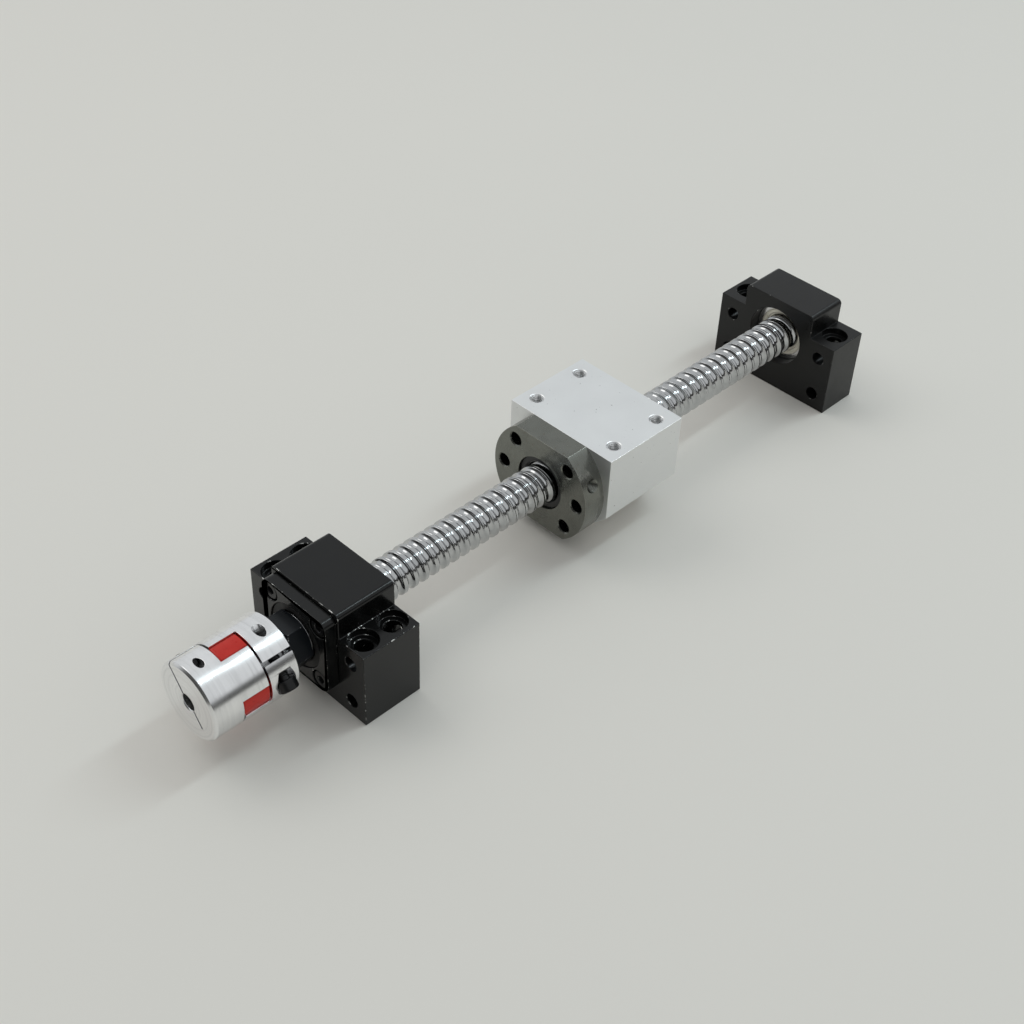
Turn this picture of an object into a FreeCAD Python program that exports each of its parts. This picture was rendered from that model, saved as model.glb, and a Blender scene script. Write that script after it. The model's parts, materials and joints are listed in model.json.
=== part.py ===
import FreeCAD, Part
import math
import os
import re
import Sketcher
from FreeCAD import Placement, Rotation, Vector

# Ball screw assembly: a 16 mm rolled screw of 5 mm lead between a fixed-side and a floating-side support block, with a
# flanged ball nut in an aluminium nut housing and a four-lobe jaw coupling on the driven end.
# Frame: +X along the screw, from the coupling towards the floating support; +Z up; the origin is on the mounting plane,
# at the centre of the fixed support's bolt pattern, under the screw axis. Millimetres.

doc = FreeCAD.newDocument("BallScrewAssembly")
sheet = doc.addObject("Spreadsheet::Sheet", "Params")

CELLS = [
    ("axis_height", 25, "screw axis above the mounting plane"),
    ("support_width", 60, "both support blocks across the wings"),
    ("support_height", 43, "top of the raised centre"),
    ("wing_height", 32.5, "top of the wings"),
    ("raised_width", 35, "raised centre across Y"),
    ("raised_round", 2, "round on the raised centre's long top edges"),
    ("fixed_length", 25, "fixed support along X, centred on the origin"),
    ("floating_face", 246.5, "floating support's front face"),
    ("floating_length", 20, "floating support along X"),
    ("wing_span", 46, "between the wing holes across Y"),
    ("wing_pitch", 13, "between the fixed support's wing holes along X"),
    ("wing_hole", 6.6, "vertical through hole in a wing"),
    ("wing_cbore", 10.8, "counterbore of a wing hole"),
    ("wing_cbore_deep", 3, "depth of the counterbore"),
    ("face_hole", 5.5, "horizontal through hole in a wing"),
    ("face_low", 7, "lower horizontal holes above the mounting plane"),
    ("face_high", 25, "upper horizontal holes above the mounting plane"),
    ("fixed_bore", 28, "seat of the two angular contact bearings"),
    ("fixed_bore_deep", 18.5, "depth of that seat from the front face"),
    ("rear_seal_bore", 24, "rear seal seat"),
    ("cover_side", 33, "square cover plate"),
    ("cover_thick", 5, "cover plate along X"),
    ("cover_round", 3, "corner round of the cover plate"),
    ("cover_spigot", 2.5, "spigot that holds the outer rings"),
    ("cover_bore", 25.6, "seal seat in the cover plate"),
    ("cover_screw_off", 12.4, "cover screws from the axis, in Y and in Z"),
    ("screw_head", 7, "M4 socket head diameter"),
    ("screw_head_tall", 4, "M4 socket head height"),
    ("screw_shank", 3.9, "M4 shank"),
    ("head_cbore", 8, "counterbore for an M4 socket head"),
    ("head_cbore_deep", 4.3, "depth of that counterbore"),
    ("socket_flats", 3, "hexagon socket across flats"),
    ("shoulder", 11.5, "start of the threaded length"),
    ("thread_end", 251.5, "end of the threaded length"),
    ("screw_dia", 16, "screw over the lands"),
    ("screw_lead", 5, "advance in one turn, right hand"),
    ("track_centre", 8.3, "radius of the ball track's centre line"),
    ("track_round", 1.65, "radius of the track's section"),
    ("nut_land", 16.8, "nut bore over the lands"),
    ("nut_ball", 2.8, "nut ball"),
    ("journal_fixed", 12, "journal in the fixed support"),
    ("journal_floating", 10, "journal in the floating support"),
    ("seat_dia", 10, "driven end, held by the coupling"),
    ("seat_end", -42.5, "driven end face"),
    ("seat_start", -26.9, "shoulder between the lock nut thread and the seat"),
    ("floating_end", 261.5, "floating end face"),
    ("ring_groove", 259.5, "snap ring groove, start"),
    ("ring_groove_wide", 1.15, "snap ring groove width"),
    ("ring_groove_dia", 9.6, "snap ring groove diameter"),
    ("flange_face", 101.5, "nut flange, front face"),
    ("flange_thick", 10, "nut flange thickness"),
    ("flange_dia", 48, "nut flange diameter"),
    ("flange_flats", 40, "nut flange across its two flats"),
    ("flange_pcd", 38, "flange bolt circle"),
    ("flange_hole", 5.5, "flange bolt hole"),
    ("nut_dia", 28, "nut body diameter"),
    ("nut_long", 50, "nut length with its flange"),
    ("wiper_seat", 22.4, "recess for a wiper"),
    ("wiper_seat_deep", 3.2, "depth of that recess"),
    ("oil_hole", 5, "tapped hole of the oil port"),
    ("oil_deep", 8, "depth of the oil port"),
    ("oil_angle", 157.5, "oil port around the axis, from +Y towards +Z"),
    ("block_wide", 52, "nut housing across Y"),
    ("block_high", 40, "nut housing height"),
    ("block_long", 40, "nut housing along X"),
    ("block_corner", 12.5, "chamfer of its lower corners"),
    ("block_bore", 28.1, "nut housing bore"),
    ("tap_drill", 4.2, "M5 tapped holes"),
    ("tap_deep", 10, "depth of the tapped holes"),
    ("top_pitch_x", 24, "top tapped holes along X"),
    ("top_pitch_y", 40, "top tapped holes across Y"),
    ("ac_bore", 12, "angular contact bearing bore"),
    ("ac_out", 28, "angular contact bearing outside diameter"),
    ("ac_wide", 8, "angular contact bearing width"),
    ("ac_front", -10, "front bearing's front face"),
    ("collar_dia", 18, "collars beside the fixed bearings"),
    ("fb_bore", 10, "floating bearing bore"),
    ("fb_out", 26, "floating bearing outside diameter"),
    ("fb_wide", 8, "floating bearing width"),
    ("ball_track", 2.4, "raceway section radius in the bearings"),
    ("ball_dia", 4.2, "bearing ball"),
    ("lock_long", 8, "lock nut width"),
    ("lock_corner", 11, "lock nut hexagon, corner radius"),
    ("coupling_face", -62, "coupling, motor end"),
    ("coupling_dia", 30, "coupling outside diameter"),
    ("coupling_long", 35, "coupling length"),
    ("motor_hub", 11.5, "motor hub body"),
    ("screw_hub", 12, "screw hub body"),
    ("jaw_long", 10.7, "jaw length"),
    ("jaw_angle", 60, "jaw around the axis"),
    ("jaw_inside", 7.4, "jaw inner radius"),
    ("lobe_angle", 29, "spider lobe around the axis"),
    ("motor_bore", 6.35, "motor shaft bore"),
    ("motor_slit_angle", 54.4, "motor hub's clamping slit around the axis"),
    ("screw_slit_angle", 139.5, "screw hub's clamping slit around the axis"),
    ("motor_clamp_off", 11.8, "motor hub's M3 clamp screw from the axis"),
    ("motor_clamp_head", 5.5, "M3 socket head diameter"),
    ("motor_clamp_tall", 3, "M3 socket head height"),
    ("motor_clamp_shank", 2.9, "M3 shank"),
    ("motor_clamp_flats", 2.5, "M3 hexagon socket across flats"),
    ("motor_clamp_seat", 1.8, "M3 head seat from the slit's middle"),
    ("screw_clamp_off", 10.9, "screw hub's clamp screw from the axis"),
]
for row, (alias, value, note) in enumerate(CELLS, 1):
    sheet.set("A%d" % row, alias)
    sheet.set("B%d" % row, str(value))
    sheet.set("C%d" % row, note)
    sheet.setAlias("B%d" % row, alias)
doc.recompute()
NAMES = {alias for alias, _, _ in CELLS}
NUM = {alias: float(value) for alias, value, _ in CELLS}


def ex(text):
    """An expression on the sheet's cells from plain words."""
    return re.sub(r"[a-z_]+[a-z]", lambda m: "Params." + m.group(0) if m.group(0) in NAMES else m.group(0), str(text))


def value(text):
    """The number that such an expression has now."""
    words = {name: NUM[name] for name in re.findall(r"[a-z_]+[a-z]", str(text)) if name in NAMES}
    out = str(text)
    for name in sorted(words, key=len, reverse=True):
        out = re.sub(r"\b%s\b" % name, repr(words[name]), out)
    tokens = re.findall(r"[0-9.]+(?:e[-+]?[0-9]+)?|[-+*/()]", out)

    def factor():
        t = tokens.pop(0)
        if t == "(":
            v = total()
            tokens.pop(0)
            return v
        if t in "+-":
            return factor() if t == "+" else -factor()
        return float(t)

    def product():
        v = factor()
        while tokens and tokens[0] in "*/":
            v = v * factor() if tokens.pop(0) == "*" else v / factor()
        return v

    def total():
        v = product()
        while tokens and tokens[0] in "+-":
            v = v + product() if tokens.pop(0) == "+" else v - product()
        return v

    return total()


ALONG_X = Rotation(Vector(0, 1, 0), 90)
AX = "axis_height"
parts = {}


def keep(node, obj):
    obj.Label = node
    parts[node] = obj
    return obj


def rod(dia, start, length, y="0", z=AX):
    """A round bar along +X."""
    o = doc.addObject("Part::Cylinder", "Rod")
    o.Placement = Placement(Vector(), ALONG_X)
    o.setExpression("Radius", ex("(%s) / 2" % dia))
    o.setExpression("Height", ex(length))
    for prop, text in zip("xyz", (start, y, z)):
        o.setExpression("Placement.Base." + prop, ex(text))
    return o


def box(x, y, z, dx, dy, dz):
    o = doc.addObject("Part::Box", "Block")
    for prop, text in (("Length", dx), ("Width", dy), ("Height", dz)):
        o.setExpression(prop, ex(text))
    for prop, text in zip("xyz", (x, y, z)):
        o.setExpression("Placement.Base." + prop, ex(text))
    return o


def cone(d1, d2, start, length, direction, y="0", z=AX, x=None):
    """A cone from diameter d1 to d2 along a direction."""
    o = doc.addObject("Part::Cone", "Cone")
    turn = Rotation(Vector(0, 0, 1), direction)
    o.Placement = Placement(Vector(), turn)
    o.setExpression("Radius1", ex("(%s) / 2" % d1))
    o.setExpression("Radius2", ex("(%s) / 2" % d2))
    o.setExpression("Height", ex(length))
    for prop, text in zip("xyz", (start if x is None else x, y, z)):
        o.setExpression("Placement.Base." + prop, ex(text))
    return o


def fuse(*items):
    o = doc.addObject("Part::MultiFuse", "Fuse")
    o.Shapes = list(items)
    return o


def cut(base, *tools):
    o = doc.addObject("Part::Cut", "Cut")
    o.Base = base
    # several tools are merged first, because some of them touch one another
    o.Tool = fuse(*tools) if len(tools) > 1 else tools[0]
    return o


def common(*items):
    o = doc.addObject("Part::MultiCommon", "Common")
    o.Shapes = list(items)
    return o


def group(*items):
    o = doc.addObject("Part::Compound", "Group")
    o.Links = list(items)
    return o


def origin_plane(body, role):
    return next(f for f in body.Origin.OriginFeatures if f.Role == role)


def outline(body, role, points, name="Outline"):
    """A closed sketch of straight lines whose corners are held by expressions."""
    sk = body.newObject("Sketcher::SketchObject", name)
    sk.AttachmentSupport = (origin_plane(body, role), [""])
    sk.MapMode = "FlatFace"
    at = [(value(a), value(b)) for a, b in points]
    count = len(at)
    for i in range(count):
        a, b = at[i], at[(i + 1) % count]
        sk.addGeometry(Part.LineSegment(Vector(a[0], a[1], 0), Vector(b[0], b[1], 0)), False)
    for i in range(count):
        sk.addConstraint(Sketcher.Constraint("Coincident", i, 2, (i + 1) % count, 1))
    for i, (a, b) in enumerate(points):
        for kind, text, number in (("DistanceX", a, at[i][0]), ("DistanceY", b, at[i][1])):
            n = sk.addConstraint(Sketcher.Constraint(kind, -1, 1, i, 1, number))
            sk.renameConstraint(n, "%s%d" % (kind[-1].lower(), i))
            sk.setExpression("Constraints.%s%d" % (kind[-1].lower(), i), ex(text))
    return sk


def circles(body, role, items, name="Circles", offset=None):
    """A sketch of circles (a, b, diameter), each held by expressions; offset lifts it off its plane."""
    sk = body.newObject("Sketcher::SketchObject", name)
    sk.AttachmentSupport = (origin_plane(body, role), [""])
    sk.MapMode = "FlatFace"
    for i, (a, b, dia) in enumerate(items):
        sk.addGeometry(Part.Circle(Vector(value(a), value(b), 0), Vector(0, 0, 1), value(dia) / 2), False)
        for kind, text in (("DistanceX", a), ("DistanceY", b)):
            n = sk.addConstraint(Sketcher.Constraint(kind, -1, 1, i, 3, value(text)))
            sk.renameConstraint(n, "%s%d" % (kind[-1].lower(), i))
            sk.setExpression("Constraints.%s%d" % (kind[-1].lower(), i), ex(text))
        n = sk.addConstraint(Sketcher.Constraint("Diameter", i, value(dia)))
        sk.renameConstraint(n, "d%d" % i)
        sk.setExpression("Constraints.d%d" % i, ex(dia))
    if offset is not None:
        sk.setExpression("AttachmentOffset.Base.z", ex(offset))
    return sk


def turned(node, points):
    """A piece turned about the screw axis, from its half section (x, radius)."""
    body = doc.addObject("PartDesign::Body", "Turned")
    sk = outline(body, "XZ_Plane", points)
    rev = body.newObject("PartDesign::Revolution", "Turn")
    rev.Profile = sk
    rev.ReferenceAxis = (sk, ["H_Axis"])
    rev.Angle = 360
    body.Tip = rev
    body.setExpression("Placement.Base.z", ex(AX))
    if node:
        keep(node, body)
    return body


# ---- support blocks ------------------------------------------------------------------------------------------------


def support(node, length, middle, columns):
    """A stepped support block: a raised centre between two wings, with vertical and horizontal bolt holes."""
    body = doc.addObject("PartDesign::Body", "Support")
    half, wide = "support_width / 2", "raised_width / 2"
    sk = outline(
        body,
        "YZ_Plane",
        [
            ("-" + half, "0"),
            (half, "0"),
            (half, "wing_height"),
            (wide, "wing_height"),
            (wide, "support_height"),
            ("-" + wide, "support_height"),
            ("-" + wide, "wing_height"),
            ("-" + half, "wing_height"),
        ],
    )
    pad = body.newObject("PartDesign::Pad", "Blank")
    pad.Profile = sk
    pad.Midplane = True
    pad.setExpression("Length", ex(length))
    doc.recompute()
    top = [
        "Edge%d" % (i + 1)
        for i, e in enumerate(pad.Shape.Edges)
        if abs(e.BoundBox.ZMin - NUM["support_height"]) < 0.01
        and abs(e.BoundBox.YLength) < 0.01
        and abs(abs(e.BoundBox.YMin) - NUM["raised_width"] / 2) < 0.01
    ]
    round_ = body.newObject("PartDesign::Fillet", "TopRounds")
    round_.Base = (pad, top)
    round_.setExpression("Radius", ex("raised_round"))
    doc.recompute()
    before = round_.Shape.Volume
    span = "wing_span / 2"
    through = circles(
        body, "XY_Plane", [(x, s + span, "wing_hole") for x in columns for s in ("", "-")], "WingHoles"
    )
    p1 = body.newObject("PartDesign::Pocket", "WingHolePocket")
    p1.Profile = through
    p1.Reversed = True
    p1.setExpression("Length", ex("support_height"))
    doc.recompute()
    sink = circles(
        body,
        "XY_Plane",
        [(x, s + span, "wing_cbore") for x in columns for s in ("", "-")],
        "WingCounterbores",
        "wing_height - wing_cbore_deep",
    )
    p2 = body.newObject("PartDesign::Pocket", "WingCounterborePocket")
    p2.Profile = sink
    p2.Reversed = True
    p2.setExpression("Length", ex("wing_cbore_deep + 1"))
    doc.recompute()
    face = circles(
        body,
        "YZ_Plane",
        [(s + span, z, "face_hole") for s in ("", "-") for z in ("face_low", "face_high")],
        "FaceHoles",
    )
    p3 = body.newObject("PartDesign::Pocket", "FaceHolePocket")
    p3.Profile = face
    p3.Midplane = True
    p3.setExpression("Length", ex(length + " + 2"))
    doc.recompute()
    assert p1.Shape.Volume < before and p2.Shape.Volume < p1.Shape.Volume and p3.Shape.Volume < p2.Shape.Volume
    body.setExpression("Placement.Base.x", ex(middle))
    return body


fixed_blank = support("fixed", "fixed_length", "0", ("wing_pitch / 2", "-wing_pitch / 2"))
front = "-fixed_length / 2"
cover_holes = [
    rod("4.1", front + " - 0.5", "9.5", y=a + "cover_screw_off", z=AX + b + "cover_screw_off")
    for a in ("", "-")
    for b in (" + ", " - ")
]
keep(
    "fixed_housing",
    cut(
        fixed_blank,
        rod("fixed_bore", front + " - 1", "fixed_bore_deep + 1"),
        rod("rear_seal_bore", "0", "fixed_length"),
        cone("fixed_bore + 1.2", "fixed_bore", front, "0.6", Vector(1, 0, 0)),
        *cover_holes,
    ),
)

float_blank = support("floating", "floating_length", "floating_face + floating_length / 2", ("0",))
keep(
    "floating_housing",
    cut(
        float_blank,
        rod("fb_out", "floating_face - 1", "14"),
        rod("22", "floating_face", "floating_length + 1"),
        cone("fb_out + 1.4", "fb_out", "floating_face", "0.7", Vector(1, 0, 0)),
        cone("22", "23", "floating_face + floating_length - 0.5", "0.5", Vector(1, 0, 0)),
    ),
)

# ---- cover plate and its screws --------------------------------------------------------------------------------------

plate = box(
    front + " - cover_thick",
    "-cover_side / 2",
    "axis_height - cover_side / 2",
    "cover_thick",
    "cover_side",
    "cover_side",
)
doc.recompute()
rounded = doc.addObject("Part::Fillet", "CoverRound")
rounded.Base = plate
rounded.Edges = [
    (i + 1, NUM["cover_round"], NUM["cover_round"])
    for i, e in enumerate(plate.Shape.Edges)
    if e.BoundBox.XLength > NUM["cover_thick"] - 0.01
]
eased = doc.addObject("Part::Chamfer", "CoverEdge")
eased.Base = rounded
doc.recompute()
eased.Edges = [
    (i + 1, 0.4, 0.4)
    for i, e in enumerate(rounded.Shape.Edges)
    if e.BoundBox.XLength < 0.01
    and min(abs(e.BoundBox.XMin - (value(front) - NUM["cover_thick"])), abs(e.BoundBox.XMin - value(front))) < 0.01
]
cover_tools = [rod("cover_bore", front + " - cover_thick - 1", "cover_thick + cover_spigot + 2")]
for a in ("", "-"):
    for b in (" + ", " - "):
        y, z = a + "cover_screw_off", AX + b + "cover_screw_off"
        cover_tools.append(rod("4.4", front + " - cover_thick - 1", "cover_thick + 2", y=y, z=z))
        cover_tools.append(rod("head_cbore", front + " - cover_thick - 1", "head_cbore_deep + 1", y=y, z=z))
keep(
    "fixed_cover",
    cut(fuse(eased, rod("fixed_bore - 0.1", front + " - 1", "cover_spigot + 1")), *cover_tools),
)


def socket_screw(
    x, y, z, length, direction, flats="socket_flats", wide="screw_head", tall="screw_head_tall", stem="screw_shank"
):
    """A socket head cap screw whose head stands on (x, y, z) and points against direction."""
    turn = Rotation(Vector(0, 0, 1), direction)
    head = doc.addObject("Part::Cylinder", "Head")
    head.setExpression("Radius", ex(wide + " / 2"))
    head.setExpression("Height", ex(tall))
    at = Vector(value(x), value(y), value(z))
    head.Placement = Placement(at - direction * NUM[tall], turn)
    doc.recompute()
    edge = doc.addObject("Part::Chamfer", "HeadEdge")
    edge.Base = head
    edge.Edges = [
        (i + 1, 0.35, 0.35)
        for i, e in enumerate(head.Shape.Edges)
        if isinstance(e.Curve, Part.Circle)
        and (e.Curve.Center - (at - direction * NUM[tall])).Length < 0.01
    ]
    shank = doc.addObject("Part::Cylinder", "Shank")
    shank.setExpression("Radius", ex(stem + " / 2"))
    shank.setExpression("Height", ex(length))
    shank.Placement = Placement(at - direction * 0.2, turn)
    hexa = doc.addObject("Part::Prism", "Socket")
    hexa.Polygon = 6
    hexa.setExpression("Circumradius", ex("%s / 1.7320508" % flats))
    hexa.Height = 0.6 + NUM[tall] / 2
    hexa.Placement = Placement(at - direction * (NUM[tall] + 0.6), turn)
    return cut(fuse(edge, shank), hexa)


seat_x = front + " - cover_thick + head_cbore_deep"
keep(
    "fixed_cover_screws",
    group(
        *[
            socket_screw(seat_x, a + "cover_screw_off", AX + b + "cover_screw_off", "8", Vector(1, 0, 0))
            for a in ("", "-")
            for b in (" + ", " - ")
        ]
    ),
)

# ---- bearings --------------------------------------------------------------------------------------------------------


def bearing(prefix, start, wide, bore, outside, inner_land, outer_land, pitch, balls, relief=None):
    """Rings, balls and cage of one bearing. relief opens the outer ring's land on one side, as in an angular contact one."""
    track = doc.addObject("Part::Torus", "Track")
    track.Placement = Placement(Vector(), ALONG_X)
    track.setExpression("Radius1", ex(pitch))
    track.setExpression("Radius2", ex("ball_track"))
    track.setExpression("Placement.Base.x", ex("%s + %s / 2" % (start, wide)))
    track.setExpression("Placement.Base.z", ex(AX))
    end = "%s + %s" % (start, wide)
    inner = turned(
        None,
        [
            (start, bore + " / 2 + 0.3"),
            (start + " + 0.3", bore + " / 2"),
            (end + " - 0.3", bore + " / 2"),
            (end, bore + " / 2 + 0.3"),
            (end, inner_land),
            (start, inner_land),
        ],
    )
    keep(prefix + "_inner_ring", cut(inner, track))
    left, right = outer_land, outer_land
    if relief:
        left, right = (outer_land + " + 0.9", outer_land) if relief < 0 else (outer_land, outer_land + " + 0.9")
    middle = "%s + %s / 2" % (start, wide)
    outer_points = [
        (start, outside + " / 2 - 0.3"),
        (start, left),
        (middle, left),
        (middle, right),
        (end, right),
        (end, outside + " / 2 - 0.3"),
        (end + " - 0.3", outside + " / 2"),
        (start + " + 0.3", outside + " / 2"),
    ]
    if not relief:
        outer_points = outer_points[:2] + outer_points[4:]
    keep(prefix + "_outer_ring", cut(turned(None, outer_points), track))
    spheres, pockets = [], []
    for i in range(balls):
        a = 2 * math.pi * (i + 0.25) / balls
        ball = doc.addObject("Part::Sphere", "Ball")
        ball.setExpression("Radius", ex("ball_dia / 2"))
        pocket = doc.addObject("Part::Cylinder", "Pocket")
        pocket.setExpression("Radius", ex("ball_dia / 2 + 0.15"))
        pocket.Height = 14
        pocket.Placement = Placement(Vector(), Rotation(Vector(0, 0, 1), Vector(0, math.cos(a), math.sin(a))))
        for o, scale in ((ball, 1.0), (pocket, 0.35)):
            o.setExpression("Placement.Base.x", ex(middle))
            o.setExpression("Placement.Base.y", ex("%s * %.6f" % (pitch, scale * math.cos(a))))
            o.setExpression("Placement.Base.z", ex("%s + %s * %.6f" % (AX, pitch, scale * math.sin(a))))
        spheres.append(ball)
        pockets.append(pocket)
    keep(prefix + "_balls", group(*spheres))
    cage = turned(
        None,
        [
            (middle + " - 3", pitch + " - 0.6"),
            (middle + " + 3", pitch + " - 0.6"),
            (middle + " + 3", pitch + " + 0.6"),
            (middle + " - 3", pitch + " + 0.6"),
        ],
    )
    keep(prefix + "_cage", cut(cage, *pockets))


bearing("fixed_front", "ac_front", "ac_wide", "ac_bore", "ac_out", "8.4", "11.5", "10", 10, -1)
bearing("fixed_rear", "(ac_front + ac_wide)", "ac_wide", "ac_bore", "ac_out", "8.4", "11.5", "10", 10, 1)
FB = "(floating_face + 5)"
bearing("floating", FB, "fb_wide", "fb_bore", "fb_out", "7.4", "10.8", "9", 8)
fb_end = "floating_face + 5 + fb_wide"
keep(
    "floating_shields",
    group(
        turned(
            None,
            [
                (FB + " + 0.25", "7.75"),
                (FB + " + 0.25", "10.75"),
                (FB + " + 0.65", "10.75"),
                (FB + " + 0.65", "7.75"),
            ],
        ),
        turned(
            None,
            [
                (fb_end + " - 0.25", "7.75"),
                (fb_end + " - 0.25", "10.75"),
                (fb_end + " - 0.65", "10.75"),
                (fb_end + " - 0.65", "7.75"),
            ],
        ),
    ),
)

# ---- fixed side: collars, seals, lock nut ----------------------------------------------------------------------------

face = front + " - cover_thick"
turned(
    "fixed_front_collar",
    [
        (face, "journal_fixed / 2 + 0.02"),
        ("ac_front", "journal_fixed / 2 + 0.02"),
        ("ac_front", "collar_dia / 2 - 0.9"),
        ("ac_front - 0.8", "collar_dia / 2"),
        (face + " + 0.3", "collar_dia / 2"),
        (face, "collar_dia / 2 - 0.3"),
    ],
)
turned(
    "fixed_rear_collar",
    [
        ("ac_front + 2 * ac_wide", "journal_fixed / 2 + 0.02"),
        ("shoulder", "journal_fixed / 2 + 0.02"),
        ("shoulder", "collar_dia / 2 - 0.3"),
        ("shoulder - 0.3", "collar_dia / 2"),
        ("ac_front + 2 * ac_wide + 0.8", "collar_dia / 2"),
        ("ac_front + 2 * ac_wide", "collar_dia / 2 - 0.9"),
    ],
)
turned(
    "fixed_front_seal",
    [
        (face + " + 0.5", "collar_dia / 2 + 0.9"),
        (face + " + 0.5", "cover_bore / 2 - 0.03"),
        (face + " + 5", "cover_bore / 2 - 0.03"),
        (face + " + 5", "cover_bore / 2 - 1.2"),
        (face + " + 1.8", "cover_bore / 2 - 1.2"),
        (face + " + 1.8", "collar_dia / 2 + 1.6"),
        (face + " + 2.8", "collar_dia / 2 + 0.3"),
        (face + " + 2.2", "collar_dia / 2 + 0.25"),
    ],
)
rear = "fixed_length / 2"
turned(
    "fixed_rear_seal",
    [
        (rear + " - 0.5", "collar_dia / 2 + 0.9"),
        (rear + " - 0.5", "rear_seal_bore / 2 - 0.03"),
        (rear + " - 4.5", "rear_seal_bore / 2 - 0.03"),
        (rear + " - 4.5", "rear_seal_bore / 2 - 1"),
        (rear + " - 1.8", "rear_seal_bore / 2 - 1"),
        (rear + " - 1.8", "collar_dia / 2 + 1.2"),
        (rear + " - 2.6", "collar_dia / 2 + 0.3"),
        (rear + " - 2", "collar_dia / 2 + 0.25"),
    ],
)

hexagon = doc.addObject("Part::Prism", "LockHexagon")
hexagon.Polygon = 6
hexagon.Placement = Placement(Vector(), Rotation(Vector(1, 0, 0), 122) * ALONG_X * Rotation(Vector(0, 0, 1), 90))
hexagon.setExpression("Circumradius", ex("lock_corner"))
hexagon.setExpression("Height", ex("lock_long"))
lock_start = face + " - lock_long"
hexagon.setExpression("Placement.Base.x", ex(lock_start))
hexagon.setExpression("Placement.Base.z", ex(AX))
lock_round = turned(
    None,
    [
        (lock_start, "0"),
        (lock_start, "lock_corner - 1.6"),
        (lock_start + " + 0.9", "lock_corner + 0.1"),
        (face + " - 0.9", "lock_corner + 0.1"),
        (face, "lock_corner - 1.6"),
        (face, "0"),
    ],
)
FLATS = (32.0, 272.0)


def radial(angle, x, r0, r1, dia, kind="Part::Cylinder"):
    """A round bar that points outwards from the axis, between two radii."""
    d = Vector(0, math.cos(math.radians(angle)), math.sin(math.radians(angle)))
    o = doc.addObject(kind, "Radial")
    o.setExpression("Radius", ex("(%s) / 2" % dia))
    o.setExpression("Height", ex("(%s) - (%s)" % (r1, r0)))
    o.Placement = Placement(Vector(value(x), 0, NUM["axis_height"]) + d * value(r0), Rotation(Vector(0, 0, 1), d))
    o.setExpression("Placement.Base.x", ex(x))
    return o


mid_lock = face + " - lock_long / 2"
keep(
    "lock_nut",
    cut(
        common(hexagon, lock_round),
        rod("journal_fixed + 0.1", lock_start + " - 1", "lock_long + 2"),
        *[radial(a, mid_lock, "5", "12", "4.1") for a in FLATS],
    ),
)


def set_screw(angle, x, r0, r1):
    d = Vector(0, math.cos(math.radians(angle)), math.sin(math.radians(angle)))
    hexa = doc.addObject("Part::Prism", "SetSocket")
    hexa.Polygon = 6
    hexa.Circumradius = 2 / 1.7320508
    hexa.Height = 2.2
    hexa.Placement = Placement(
        Vector(value(x), 0, NUM["axis_height"]) + d * (value(r1) - 1.6), Rotation(Vector(0, 0, 1), d)
    )
    return cut(radial(angle, x, r0, r1, "3.9"), hexa)


keep("lock_nut_set_screws", group(*[set_screw(a, mid_lock, "7.2", "9.3") for a in FLATS]))
keep("lock_nut_pads", group(*[radial(a, mid_lock, "6.15", "7.15", "3.8") for a in FLATS]))

# ---- screw shaft -----------------------------------------------------------------------------------------------------


def ball_track(crest, outwards, first, last, trim, steps=24, across=9):
    """The solid of a single-start ball thread about the X axis, between x = first and x = last.

    Each turn is two strips, the round-bottomed track and the plain land at radius crest, both interpolated from the
    track's section as it advances by one lead. outwards gives the nut's thread, as a core to cut with. The angle runs
    from +Y towards +Z, and the track's bottom is at x = shoulder on +Y."""
    lead, centre, ball = NUM["screw_lead"], NUM["track_centre"], NUM["track_round"]
    sign = 1 if outwards else -1
    half = math.sqrt(ball**2 - (centre - crest) ** 2)
    reach = math.atan2(half, sign * (crest - centre))

    def track(v):
        a = reach * (2 * v - 1)
        return ball * math.sin(a), centre + sign * ball * math.cos(a)

    def land(v):
        return half + (lead - 2 * half) * v, crest

    def point(profile, v, turn):
        x, r = profile(v)
        return Vector(x + lead * turn, r * math.cos(2 * math.pi * turn), r * math.sin(2 * math.pi * turn))

    def strip(profile, count):
        grid = [[point(profile, j / (count - 1), i / steps) for j in range(count)] for i in range(steps + 1)]
        s = Part.BSplineSurface()
        s.interpolate(grid)
        return s.toShape()

    def line(points):
        c = Part.BSplineCurve()
        c.interpolate(points)
        return c.toShape()

    turn = [strip(track, across), strip(land, 4)]
    phase = NUM["shoulder"]
    k0, k1 = math.floor((first - phase) / lead) - 3, math.ceil((last - phase) / lead) + 2
    faces = []
    for k in range(k0, k1):
        for f in turn:
            g = f.copy()
            g.translate(Vector(phase + lead * k, 0, 0))
            faces.append(g)
    for k in (k0, k1):
        shift = Vector(phase + lead * k, 0, 0)
        xa, xb = -half, lead - half
        helix = line([point(track, 0.0, i / steps) for i in range(steps + 1)])
        section = line([point(track, j / (across - 1), 0) for j in range(across)])
        flat = Part.Face(
            Part.Wire(
                [
                    section,
                    Part.makeLine(Vector(half, crest, 0), Vector(xb, crest, 0)),
                    Part.makeLine(Vector(xb, crest, 0), Vector(xb, 0, 0)),
                    Part.makeLine(Vector(xb, 0, 0), Vector(xa, 0, 0)),
                    Part.makeLine(Vector(xa, 0, 0), Vector(xa, crest, 0)),
                ]
            )
        )
        wound = Part.makeRuledSurface(Part.makeLine(Vector(xa, 0, 0), Vector(xb, 0, 0)), helix)
        for f in (flat, wound):
            f.translate(shift)
            faces.append(f)
    skin = Part.makeCompound(faces)
    skin.sewShape(1e-4)
    core = Part.Solid(skin.Shells[0])
    if core.Volume < 0:
        core.reverse()
    return core.common(trim)


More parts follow.
